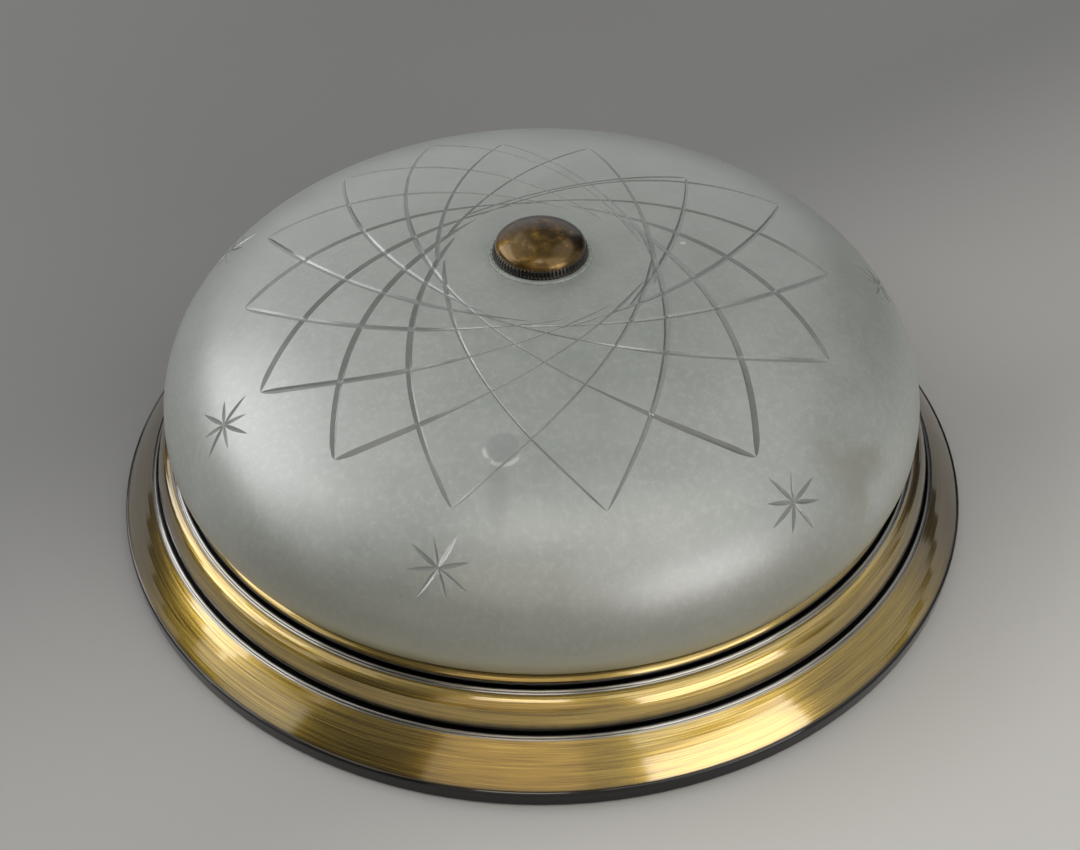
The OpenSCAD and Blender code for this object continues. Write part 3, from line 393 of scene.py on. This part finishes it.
# Dark tone, pale tone, scale of the noise, and what differs from a plain dull finish
PLAIN_FINISHES = {
    "white_enamel": ((0.76, 0.75, 0.71), (0.84, 0.84, 0.81), 30,
                     dict(rough=(0.22, 0.38), bump=(900, 0.00006), Coat_Weight=0.3, Coat_Roughness=0.2)),
    "rivet_aluminium": ((0.55, 0.55, 0.55), (0.72, 0.72, 0.73), 300,
                        dict(rough=(0.3, 0.5), metal=1.0, bump=(1500, 0.00003))),
    "clear_silicone": ((0.74, 0.75, 0.72), (0.84, 0.85, 0.82), 200,
                       dict(rough=(0.4, 0.55), Transmission_Weight=0.5, IOR=1.41)),
    "zinc_brass": ((0.62, 0.50, 0.26), (0.78, 0.68, 0.42), 160,
                   dict(rough=(0.22, 0.4), metal=1.0, bump=(1400, 0.00003))),
    "zinc_steel": ((0.56, 0.57, 0.58), (0.74, 0.74, 0.72), 120,
                   dict(rough=(0.25, 0.45), metal=1.0, bump=(1200, 0.00003))),
    "clear_plastic": ((0.34, 0.37, 0.34), (0.40, 0.43, 0.40), 150,
                      dict(rough=(0.22, 0.34), Transmission_Weight=0.25, IOR=1.45)),
    "white_porcelain": ((0.80, 0.79, 0.75), (0.88, 0.87, 0.84), 60,
                        dict(rough=(0.12, 0.22), bump=(500, 0.00008), Coat_Weight=0.5, Coat_Roughness=0.06)),
    "nickel_brass": ((0.60, 0.56, 0.46), (0.76, 0.73, 0.64), 150, dict(rough=(0.2, 0.35), metal=1.0)),
    "contact_brass": ((0.68, 0.50, 0.20), (0.86, 0.68, 0.34), 200, dict(rough=(0.2, 0.35), metal=1.0)),
    "opal_glass": ((0.86, 0.87, 0.85), (0.92, 0.92, 0.90), 40,
                   dict(rough=(0.16, 0.26), Coat_Weight=0.3, Coat_Roughness=0.08)),
    "cap_aluminium": ((0.60, 0.60, 0.59), (0.78, 0.78, 0.77), 220, dict(rough=(0.25, 0.42), metal=1.0)),
    "black_glass": ((0.012, 0.012, 0.015), (0.03, 0.03, 0.035), 200, dict(rough=(0.08, 0.2))),
    "solder": ((0.50, 0.50, 0.50), (0.70, 0.70, 0.68), 600,
               dict(rough=(0.3, 0.5), metal=1.0, bump=(900, 0.0001))),
    "natural_plastic": ((0.72, 0.70, 0.60), (0.80, 0.78, 0.68), 90,
                        dict(rough=(0.35, 0.5), Transmission_Weight=0.15)),
    "brown_sleeve": ((0.10, 0.045, 0.02), (0.16, 0.075, 0.035), 250, {}),
    "blue_sleeve": ((0.02, 0.08, 0.30), (0.04, 0.13, 0.42), 250, {}),
    "green_sleeve": ((0.05, 0.22, 0.04), (0.10, 0.34, 0.07), 250, {}),
    "tinned_copper": ((0.60, 0.56, 0.52), (0.76, 0.74, 0.70), 260, dict(rough=(0.25, 0.4), metal=1.0)),
    "black_rubber": ((0.018, 0.018, 0.018), (0.035, 0.034, 0.033), 180,
                     dict(rough=(0.5, 0.7), bump=(800, 0.00008))),
}

finishes = {"antique_brass": antique_brass(), "dark_bronze": dark_bronze()}
for name, (low, high, scale, extra) in PLAIN_FINISHES.items():
    finishes[name] = plain(name, low, high, scale, **extra)
finishes["frosted_glass"] = frosted_glass()

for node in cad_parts.values():
    for slot in node.material_slots:
        slot.material = finishes[slot.material.name.split(".")[0]]

# The dome in mm: its widest radius, that circle's height, the rise above it, and the two powers of its curve
DOME_R, DOME_MID_Z, DOME_H = 152.0, 47.4, 60.5
DOME_N, DOME_M = 3.35, 2.05
GLASS_T = 4.0
HOLE_R = 6.0
CURVE_STEPS, CURVE_EASE = 1600, 1.05

hole_angle = math.asin((HOLE_R / DOME_R) ** (DOME_N / 2))
angles = hole_angle + (math.pi / 2 - hole_angle) * np.linspace(0, 1, CURVE_STEPS) ** CURVE_EASE
curve_r = DOME_R * np.sin(angles) ** (2 / DOME_N)
curve_z = DOME_MID_Z + DOME_H * np.clip(np.cos(angles), 0, 1) ** (2 / DOME_M)
curve_s = HOLE_R + np.concatenate([[0], np.cumsum(np.hypot(np.diff(curve_r), np.diff(curve_z)))])
curve_normal = np.stack([-np.gradient(curve_z), np.gradient(curve_r)], 1)
curve_normal /= np.linalg.norm(curve_normal, axis=1)[:, None]
REACH = float(curve_s[-1])


def dome_frame(s, theta, depth):
    """Points on the dome at meridian length s and angle theta, sunk by depth, and the normals there (mm)."""
    r, z = np.interp(s, curve_s, curve_r), np.interp(s, curve_s, curve_z)
    nr, nz = np.interp(s, curve_s, curve_normal[:, 0]), np.interp(s, curve_s, curve_normal[:, 1])
    size = np.hypot(nr, nz)
    nr, nz = nr / size, nz / size
    c, sn = np.cos(theta), np.sin(theta)
    normals = np.stack([nr * c, nr * sn, nz], 1)
    points = np.stack([r * c, r * sn, z], 1) - normals * np.reshape(depth, (-1, 1))
    return points, normals


def to_plane(x, y):
    """A point seen from above (mm) to the flat drawing, whose distance from the middle is the meridian length."""
    r = np.hypot(x, y)
    s = np.interp(r, curve_r, curve_s)
    return np.stack([x / r * s, y / r * s], -1)


# The cut pattern: angle in degrees and distance from the middle in mm of each tip
TIPS = ((164, 115), (188, 114), (212, 119), (234, 121), (256, 124), (280, 124), (307, 122), (335, 116),
        (1, 112), (27, 111), (45, 86), (76, 88), (100, 92), (116, 108), (139, 110))
INNER_MIDDLE = np.array([1.0, -2.6])
INNER_CIRCLE = 42.0
INNER_STEP = 3
STROKE_BULGE = 11.0
SHORT_TIP, SHORT_BULGE = 110.0, 0.28
OVERSHOOT = 0.18
BOLD, FINE = 1.25, 0.42
BOLD_X = (14, 52)
BACK_Y, BACK_FADE = (0, 55), 0.6
START_TAPER, END_TAPER = 0.10, 0.05
SKEW = 0.32
CUT_SLOPE = 0.46
STROKE_STEPS = 100


def smoothstep(value, low, high):
    t = np.clip((value - low) / (high - low), 0, 1)
    return t * t * (3 - 2 * t)


def around(degrees, radius):
    a = math.radians(degrees)
    return np.array([math.cos(a), math.sin(a)]) * radius


def stroke_line(k, side):
    """A bowed stroke that starts a little before an inner point and ends in tip k; bold at the dome's sides."""
    tip_angle, tip_radius = TIPS[k]
    inner = INNER_MIDDLE + around(TIPS[(k + INNER_STEP * side) % len(TIPS)][0], INNER_CIRCLE)
    tip = around(tip_angle, tip_radius)
    chord = tip - inner
    length = np.linalg.norm(chord)
    out = np.array([chord[1], -chord[0]]) / length
    if out @ (inner + tip) < 0:
        out = -out
    bulge = STROKE_BULGE - SHORT_BULGE * max(0.0, SHORT_TIP - tip_radius)
    t = np.linspace(-OVERSHOOT, 1.0, STROKE_STEPS)
    line = inner + chord * t[:, None] + out * (bulge * 4 * t * (1 - t))[:, None]
    bold = smoothstep(np.abs(line[:, 0]), *BOLD_X) * (1 - BACK_FADE * smoothstep(line[:, 1], *BACK_Y))
    start = np.sqrt(np.clip((t + OVERSHOOT) / START_TAPER, 0, 1))
    end = np.sqrt(np.clip((1.0 - t) / END_TAPER, 0, 1))
    half = (FINE + (BOLD - FINE) * bold) * (start * end)
    flat = to_plane(line[:, 0], line[:, 1])
    run = flat[-1] - flat[0]
    inner_side = 1 if run[0] * -flat[0, 1] + run[1] * flat[0, 0] > 0 else -1
    return flat, half, -SKEW * inner_side, CUT_SLOPE


# The stars: angle in degrees and distance from the middle in mm, and their rays
STAR_PLACES = ((211.4, 134.0), (255.7, 139.8), (308.7, 137.9), (7.1, 138.0), (52.0, 134.0),
               (106.0, 134.0), (163.0, 134.0))
STAR_TURN, STAR_TURN_STEP = 0.3, 0.8
STAR_RAYS = 8
STAR_RAY, SHORTER_RAY = 12.8, 2.0
STAR_HALF_WIDTH = 0.88
STAR_CORE, STAR_WIDEST, STAR_POWER = 0.22, 0.36, 0.8
ANGLE_SWING, LENGTH_SWING = 0.10, 0.9
STAR_SLOPE = 0.52
STAR_STEPS = 16


def star_lines(theta, r, turn):
    """Lens-shaped rays, long and short in turn, cut outwards from the middle of a star by an uneven hand."""
    s0 = float(np.interp(r, curve_r, curve_s))
    t = np.linspace(0, 1, STAR_STEPS)
    swell = STAR_CORE + (1 - STAR_CORE) * np.sin(t / STAR_WIDEST * math.pi / 2)
    thin = np.cos(np.clip((t - STAR_WIDEST) / (1 - STAR_WIDEST), 0, 1) * math.pi / 2) ** STAR_POWER
    half = STAR_HALF_WIDTH * np.where(t < STAR_WIDEST, swell, thin)
    half[-1] = 0
    for i in range(STAR_RAYS):
        a = turn + 2 * math.pi * (i + ANGLE_SWING * math.sin(5.0 * i + theta)) / STAR_RAYS
        length = STAR_RAY - SHORTER_RAY * (i % 2) + LENGTH_SWING * math.sin(3.1 * i + 7 * theta)
        s = s0 + math.cos(a) * length * t
        angle = theta + math.sin(a) * length * t / r
        yield np.stack([s * np.cos(angle), s * np.sin(angle)], 1), half, 0.0, STAR_SLOPE


# Each cut is its middle line in the flat drawing, its half widths, its skew and its slope
cuts = [stroke_line(k, side) for k in range(len(TIPS)) for side in (-1, 1)]
for number, (degrees, r) in enumerate(STAR_PLACES):
    cuts.extend(star_lines(math.radians(degrees), r, STAR_TURN + STAR_TURN_STEP * number))

CUT_REACH = 2.2


def near_line(points, line, margin):
    """The numbers of the points in a line's box, widened by a margin."""
    inside = (points > line.min(0) - margin) & (points < line.max(0) + margin)
    return np.where(np.all(inside, axis=1))[0]


def cut_depth(points):
    """How deep the cuts are at points of the flat drawing: the deepest V of those that pass there."""
    depth = np.zeros(len(points))
    for flat, half, skew, slope in cuts:
        near = near_line(points, flat, CUT_REACH)
        if not len(near):
            continue
        a, b = flat[:-1], flat[1:]
        ab = b - a
        ap = points[near][:, None] - a[None]
        t = np.clip((ap * ab).sum(2) / (ab ** 2).sum(1), 0, 1)
        gap = np.linalg.norm(ap - t[..., None] * ab, axis=2)
        left = np.sign(ab[:, 0] * ap[..., 1] - ab[:, 1] * ap[..., 0])
        width = half[:-1] + (half[1:] - half[:-1]) * t
        rest = 1 - gap / np.maximum(width * (1 + skew * left), 1e-6)
        depth[near] = np.maximum(depth[near], slope * (width * np.maximum(rest, 0)).max(1))
    return depth


# The mesh of the glass, in mm: points round the edge and the hole, and the rows of points between them
EDGE_COUNT, HOLE_COUNT = 288, 72
ROW_PITCH, ROW_LEAST = 3.4, 40
ROW_STEP, STEEP_STEP, STEEP_FROM = 3.0, 1.9, 105
HOLE_MARGIN, EDGE_MARGIN = 2.0, 1.2
LINE_MARGIN, LINE_CLEARANCE = 3, 0.7
LEAST_HALF_WIDTH = 0.02
MERGE_DISTANCE = 1e-5
OPEN_SHARE = 0.9995
LEAST_CUT = 0.012


def ring_points(s, count, turn=0.0):
    a = 2 * math.pi * (np.arange(count) + turn) / count
    return np.stack([s * np.cos(a), s * np.sin(a)], 1)


def ring_edges(first, count):
    return [(first + i, first + (i + 1) % count) for i in range(count)]


def chain(ids):
    return list(zip(ids[:-1].tolist(), ids[1:].tolist()))


def row_points():
    """Rings of points, closer together where the dome turns down."""
    rings = []
    s = HOLE_R + HOLE_MARGIN
    while s < REACH - EDGE_MARGIN:
        count = int(np.clip(round(2 * math.pi * s / ROW_PITCH), ROW_LEAST, EDGE_COUNT))
        rings.append(ring_points(s, count, 0.5 * (len(rings) % 2)))
        s += ROW_STEP if s < STEEP_FROM else STEEP_STEP
    return np.concatenate(rings)


def clear_of_cuts(points):
    crowded = np.zeros(len(points), bool)
    for flat, half, skew, _ in cuts:
        near = near_line(points, flat, LINE_MARGIN)
        if len(near):
            gap = np.linalg.norm(points[near, None] - flat[None], axis=2) - half[None] * (1 + abs(skew))
            crowded[near] |= gap.min(1) < LINE_CLEARANCE
    return points[~crowded]


def cut_outline(flat, half, skew, first):
    """Points of a cut's middle line and its two sides, numbered from first, and the edges along them."""
    along = np.gradient(flat, axis=0)
    along /= np.linalg.norm(along, axis=1)[:, None]
    across = np.stack([-along[:, 1], along[:, 0]], 1) * half[:, None]
    wide = half > LEAST_HALF_WIDTH
    points = [flat]
    middle = first + np.arange(len(flat))
    edges = chain(middle)
    start = first + len(flat)
    for sign in (-1, 1):
        points.append((flat + sign * (1 + skew * sign) * across)[wide])
        ids = start + np.arange(len(points[-1]))
        start += len(ids)
        if not wide[0]:
            ids = np.concatenate([middle[:1], ids])
        if not wide[-1]:
            ids = np.concatenate([ids, middle[-1:]])
        edges += chain(ids)
    return np.concatenate(points), edges


def flat_mesh(with_cuts):
    """Triangles of the flat drawing between hole and widest circle, and the numbers of both circles' points."""
    rows = row_points()
    if with_cuts:
        rows = clear_of_cuts(rows)
    points = [ring_points(REACH, EDGE_COUNT), ring_points(HOLE_R, HOLE_COUNT), rows]
    edges = ring_edges(0, EDGE_COUNT) + ring_edges(EDGE_COUNT, HOLE_COUNT)
    if with_cuts:
        total = EDGE_COUNT + HOLE_COUNT + len(rows)
        for flat, half, skew, _ in cuts:
            outline, outline_edges = cut_outline(flat, half, skew, total)
            points.append(outline)
            edges += outline_edges
            total += len(outline)
    corners = [Vector(p) for p in np.concatenate(points)]
    verts, _, polygons, sources, _, _ = delaunay_2d_cdt(corners, edges, [], 0, MERGE_DISTANCE)
    flat = np.array([tuple(v) for v in verts])
    faces = np.array([f for f in polygons if len(f) == 3])
    centre = flat[faces].mean(1)
    faces = faces[np.linalg.norm(centre, axis=1) > HOLE_R * OPEN_SHARE]
    place = {old: new for new, olds in enumerate(sources) for old in olds}
    outer = [place[i] for i in range(EDGE_COUNT)]
    hole = [place[EDGE_COUNT + i] for i in range(HOLE_COUNT)]
    return flat, faces, outer, hole


# The glass below its widest circle, in mm: the belly turns in to a neck, and a collar ends in a round lip
BELLY_R, BELLY_DROP = 7.8, 10.3
TUCK_R, NECK_Z, NECK_R = 144.2, 35.1, 2.0
COLLAR_R, COLLAR_ROWS, FOOT = 142.2, (33.0, 31.0), 28.6
LIP = 0.8


def lower_profile():
    """Half section from the widest circle down the outside, round the collar's end and up the inside."""

    def turn(cx, cz, rx, rz, start, stop, steps):
        a = np.radians(np.linspace(start, stop, steps))
        return list(zip(cx + rx * np.cos(a), cz + rz * np.sin(a)))

    inner_r, lip_z = COLLAR_R - GLASS_T, FOOT + LIP
    outside = turn(TUCK_R, DOME_MID_Z, BELLY_R, BELLY_DROP, 0, -90, 13)[1:]
    outside += turn(TUCK_R, NECK_Z, NECK_R, NECK_R, 90, 180, 7)
    outside += [(COLLAR_R, z) for z in (*COLLAR_ROWS, lip_z)]
    outside += turn(COLLAR_R - LIP, lip_z, LIP, LIP, 0, -90, 5)[1:]
    inside = turn(inner_r + LIP, lip_z, LIP, LIP, -90, -180, 5)
    inside += [(inner_r, z) for z in reversed(COLLAR_ROWS)]
    inside += turn(TUCK_R, NECK_Z, NECK_R + GLASS_T, NECK_R + GLASS_T, 180, 90, 7)
    inside += turn(TUCK_R, DOME_MID_Z, BELLY_R - GLASS_T, BELLY_DROP - GLASS_T, -85, 0, 7)[:-1]
    return outside + inside


def polar(flat):
    return np.linalg.norm(flat, axis=1), np.arctan2(flat[:, 1], flat[:, 0])


def outer_surface():
    """The cut outside of the dome: points, normals, triangles, which of these are cut, and both circles."""
    flat, faces, outer, hole = flat_mesh(True)
    points, normals = dome_frame(*polar(flat), cut_depth(flat))
    is_cut = cut_depth(flat[faces].mean(1)) > LEAST_CUT
    return points, normals, faces, is_cut, outer, hole


def inner_surface():
    """The plain inside of the dome: points, normals, triangles and both circles."""
    flat, faces, outer, hole = flat_mesh(False)
    points, normals = dome_frame(*polar(flat), GLASS_T)
    points[outer, 2] = DOME_MID_Z
    round_hole = points[hole, :2]
    points[hole, :2] = round_hole / np.linalg.norm(round_hole, axis=1)[:, None] * HOLE_R
    return points, normals, faces, outer, hole


def shade_glass(mesh, normals, triangles, is_cut, wall_count):
    """Smooth normals from the dome's curve, and flat ones on the cuts and in the hole."""
    count = len(mesh.polygons)
    is_smooth = np.ones(count, bool)
    is_smooth[:len(is_cut)] = ~is_cut
    is_smooth[-wall_count:] = False
    mesh.polygons.foreach_set("use_smooth", is_smooth)
    face_normals = np.zeros(count * 3, np.float32)
    mesh.polygons.foreach_get("normal", face_normals)
    face_normals = face_normals.reshape(-1, 3)
    corner_vertex = np.zeros(len(mesh.loops), np.int32)
    mesh.loops.foreach_get("vertex_index", corner_vertex)
    corner_normals = np.zeros((len(mesh.loops), 3))
    curved = triangles * 3
    corner_normals[:curved] = normals[corner_vertex[:curved]]
    cut_corners = np.where(np.repeat(is_cut, 3))[0]
    corner_normals[cut_corners] = np.repeat(face_normals[:len(is_cut)][is_cut], 3, axis=0)
    corner_normals[-wall_count * 4:] = np.repeat(face_normals[-wall_count:], 4, axis=0)
    mesh.normals_split_custom_set(corner_normals.tolist())


def make_glass():
    """The shade: the cut outside, the plain inside, the collar that joins them below, and the hole's wall."""
    points, normals, faces, is_cut, outer, hole = outer_surface()
    points_in, normals_in, faces_in, outer_in, hole_in = inner_surface()
    first_in = len(points)
    first_collar = first_in + len(points_in)
    a = 2 * math.pi * np.arange(EDGE_COUNT) / EDGE_COUNT
    section = lower_profile()
    collar = [np.stack([r * np.cos(a), r * np.sin(a), np.full_like(a, z)], 1) for r, z in section]
    verts = np.concatenate([points, points_in, *collar]) * MM

    rows = [np.array(outer)]
    rows += [first_collar + i * EDGE_COUNT + np.arange(EDGE_COUNT) for i in range(len(section))]
    rows.append(first_in + np.array(outer_in))
    polygons = faces.tolist() + (first_in + faces_in[:, [0, 2, 1]]).tolist()
    for upper, lower in zip(rows[:-1], rows[1:]):
        polygons += np.stack([upper, lower, np.roll(lower, -1), np.roll(upper, -1)], 1).tolist()
    hole, hole_in = np.array(hole), first_in + np.array(hole_in)
    polygons += np.stack([hole, np.roll(hole, -1), np.roll(hole_in, -1), hole_in], 1).tolist()

    mesh = bpy.data.meshes.new("glass_dome")
    mesh.from_pydata(verts.tolist(), [], polygons)
    mesh.update()
    mesh.materials.append(finishes["frosted_glass"])
    mesh.materials.append(cut_glass())
    material = np.zeros(len(mesh.polygons), np.int32)
    material[:len(faces)] = is_cut
    mesh.polygons.foreach_set("material_index", material)
    shade_glass(mesh, np.concatenate([normals, -normals_in]), len(faces) + len(faces_in), is_cut, HOLE_COUNT)
    glass = bpy.data.objects.new("glass_dome", mesh)
    scene.collection.objects.link(glass)
    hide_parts("glass_shade")
    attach(glass, "shade")


make_glass()

# The knob, in mm
KNOB_Z, KNOB_TOP = 108.9, 119.4
EDGE_R, EDGE_TOP_R, EDGE_TOP = 18.5, 17.9, 112.3
KNOB_LIP = 0.4
BORE_R, BORE_DEPTH = 5.05, 8.0
BOSS_R, HOLLOW_R, HOLLOW_DEPTH = 8.5, 15.5, 1.5
REEDS, REED_DEPTH = 76, 0.4
REED_COLUMNS = 8
REED_POWER = 0.7
REED_FOOT, REED_TOP, REED_IN = (0.3, 0.6), (-0.2, 0.3), 0.3
EDGE_ROWS, TOP_ROWS = 10, 29
SHARP_ANGLE = math.radians(38)


def knob_profile():
    """Half section from the top of the bore, round the foot and the edge, to the top."""
    ceiling, foot, shoulder = KNOB_Z + BORE_DEPTH, KNOB_Z + KNOB_LIP, EDGE_TOP - KNOB_LIP
    hollow = KNOB_Z + HOLLOW_DEPTH
    foot_r, top_r = EDGE_R - KNOB_LIP, EDGE_TOP_R - KNOB_LIP
    rows = [(0.0, ceiling), (BORE_R, ceiling), (BORE_R, KNOB_Z), (BOSS_R, KNOB_Z), (BOSS_R, hollow),
            (HOLLOW_R, hollow), (HOLLOW_R, KNOB_Z), (foot_r, KNOB_Z)]
    rows += [(foot_r + KNOB_LIP * math.sin(a), foot - KNOB_LIP * math.cos(a)) for a in (0.5, 1.0, math.pi / 2)]
    rows += [(EDGE_R + (EDGE_TOP_R - EDGE_R) * t, foot + (shoulder - foot) * t)
             for t in np.linspace(0, 1, EDGE_ROWS + 1)[1:]]
    rows += [(EDGE_TOP_R - KNOB_LIP * t, shoulder + KNOB_LIP * t) for t in (0.5, 1.0)]
    rows += [(top_r * math.cos(a), EDGE_TOP + (KNOB_TOP - EDGE_TOP) * math.sin(a))
             for a in np.linspace(0, math.pi / 2, TOP_ROWS + 1)[1:]]
    return rows


def reeded_share(r, z):
    """1 on the upright edge, where the reeds are full, and 0 away from it."""
    foot, top_r = KNOB_Z + KNOB_LIP, EDGE_TOP_R - KNOB_LIP
    share = smoothstep(z, foot + REED_FOOT[0], foot + REED_FOOT[1]) * smoothstep(r, top_r - REED_IN, top_r)
    return share * (1 - smoothstep(z, EDGE_TOP + REED_TOP[0], EDGE_TOP + REED_TOP[1]))


def make_knob():
    """A low lathed dome on a reeded edge, hollow below round a bored boss."""
    columns = REEDS * REED_COLUMNS
    turn = 2 * math.pi * np.arange(columns) / columns
    groove = np.clip(np.cos(REEDS * turn), 0, 1) ** REED_POWER
    work = bmesh.new()
    rings = []
    for r, z in knob_profile():
        if r < 1e-6:
            rings.append([work.verts.new((0, 0, z * MM))] * columns)
            continue
        radii = r - REED_DEPTH * groove * reeded_share(r, z)
        rings.append([work.verts.new((q * math.cos(a) * MM, q * math.sin(a) * MM, z * MM))
                      for q, a in zip(radii, turn)])
    for lower, upper in zip(rings[:-1], rings[1:]):
        for i in range(columns):
            j = (i + 1) % columns
            corners = dict.fromkeys((lower[i], lower[j], upper[j], upper[i]))
            work.faces.new(list(corners)).smooth = True
    bmesh.ops.recalc_face_normals(work, faces=work.faces)
    for edge in work.edges:
        edge.smooth = edge.calc_face_angle(0) < SHARP_ANGLE
    mesh = bpy.data.meshes.new("reeded_knob")
    work.to_mesh(mesh)
    work.free()
    mesh.materials.append(finishes["dark_bronze"])
    knob = bpy.data.objects.new("reeded_knob", mesh)
    scene.collection.objects.link(knob)
    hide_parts("knob")
    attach(knob, "knob")


make_knob()

# The floor, in metres: it grows paler forwards and to the right, a painted falloff of the light
FLOOR_HALF, FLOOR_DROP = 6, 0.0002
FLOOR_LEAN, FLOOR_SPAN = 0.7, (-0.6, 0.4)
FLOOR_LIGHT_STOPS = ((0.0, (0.17, 0.17, 0.17)), (0.40, (0.19, 0.19, 0.19)),
               (0.70, (0.38, 0.375, 0.365)), (0.88, (0.65, 0.635, 0.61)))


def make_floor():
    corners = [(x * FLOOR_HALF, y * FLOOR_HALF, 0) for x, y in ((-1, -1), (1, -1), (1, 1), (-1, 1))]
    mesh = bpy.data.meshes.new("floor")
    mesh.from_pydata(corners, [], [(0, 1, 2, 3)])
    s = Finish("floor")
    x, y, _ = s.xyz()
    tone = s.noise(1.3, 3.0, 0.5)
    forward = s.math("SUBTRACT", s.times(x, FLOOR_LEAN), y)
    # Painted light: the floor's colour brightens forwards and to the right, as if lit from the front right.
    pale = s.ramp(s.span(forward, *FLOOR_SPAN, smooth=False), FLOOR_LIGHT_STOPS, "EASE")
    s.set(Base_Color=s.mix(s.span(tone, 0.3, 0.7, 0.0, 0.06), pale, (0.50, 0.50, 0.49)), Roughness=0.6,
          Normal=s.bump(s.noise(240.0, 4.0, 0.6), 0.0002, 0.25))
    mesh.materials.append(s.material)
    floor = bpy.data.objects.new("floor", mesh)
    floor.location.z = -FLOOR_DROP
    scene.collection.objects.link(floor)


# Bright panes of the room: azimuth from and to (degrees, 0 in front, right positive), height of the
# lower and the upper edge (sine of the elevation), softness of the upper edge, colour
PANES = (
    (23, 62, 0.05, 0.50, 0.08, (3.3, 3.2, 3.2)),
    (23, 80, 0.58, 0.97, 0.03, (1.5, 1.5, 1.4)),
    (10, 23, 0.05, 0.97, 0.03, (0.45, 0.44, 0.42)),
    (-27, 10, 0.20, 0.80, 0.06, (0.76, 0.66, 0.54)),
    (-27, 10, 0.87, 0.985, 0.01, (3.2, 3.1, 3.0)),
    (-88, -58, 0.10, 0.45, 0.08, (0.9, 0.9, 0.9)),
    (-125, -88, 0.28, 0.50, 0.05, (1.6, 1.6, 1.6)),
    (-165, -58, 0.55, 0.95, 0.04, (0.8, 0.8, 0.8)),
    (62, 112, 0.05, 0.60, 0.10, (0.45, 0.45, 0.45)),
    (80, 150, 0.62, 0.95, 0.04, (0.8, 0.8, 0.8)),
    (150, 180, 0.03, 0.50, 0.06, (0.5, 0.5, 0.5)),
    (-180, -140, 0.03, 0.50, 0.06, (0.6, 0.6, 0.6)),
)
SIDE_SOFT, FOOT_SOFT = 0.025, 0.03
SKY_STOPS = ((0.0, (0.035, 0.035, 0.035)), (0.20, (0.05, 0.05, 0.05)),
             (0.55, (0.12, 0.12, 0.12)), (1.0, (0.26, 0.27, 0.27)))
BACKGROUND_GREY = (0.22, 0.22, 0.22)


def make_world():
    """A soft grey room whose bright panes and dark gaps give the brass its bands; the camera sees plain grey."""
    world = bpy.data.worlds.new("room")
    world.use_nodes = True
    scene.world = world
    s = Shader(world.node_tree)
    x, y, z = s.xyz(s.add("ShaderNodeTexCoord").outputs["Generated"])
    azimuth = s.math("ARCTAN2", x, s.times(y, -1.0))
    sky = s.ramp(s.span(z, 0.0, 1.0, smooth=False), SKY_STOPS)
    for start, stop, foot, top, soft, colour in PANES:
        across = s.band(azimuth, math.radians(start), math.radians(stop), SIDE_SOFT)
        up = s.times(s.span(z, foot - FOOT_SOFT, foot + FOOT_SOFT), s.span(z, top + soft, top - soft))
        sky = s.mix(s.times(across, up), sky, colour)
    seen = s.add("ShaderNodeLightPath").outputs["Is Camera Ray"]
    s.plug(s.mix(seen, sky, BACKGROUND_GREY), world.node_tree.nodes["Background"].inputs["Color"])


LAMP_PLACE, LAMP_AIM = Vector((-1.35, 0.30, 0.90)), Vector((0, 0, 0.03))
LAMP_SIZE, LAMP_POWER = (1.5, 1.0), 8.5


def make_lamp():
    """One large soft lamp, high on the left."""
    data = bpy.data.lights.new("key", "AREA")
    data.shape = "RECTANGLE"
    data.size, data.size_y = LAMP_SIZE
    data.energy = LAMP_POWER
    lamp = bpy.data.objects.new("key", data)
    lamp.location = LAMP_PLACE
    lamp.rotation_euler = (LAMP_AIM - LAMP_PLACE).to_track_quat("-Z", "Y").to_euler()
    scene.collection.objects.link(lamp)


make_floor()
make_world()
make_lamp()
scene.view_settings.view_transform = "Standard"
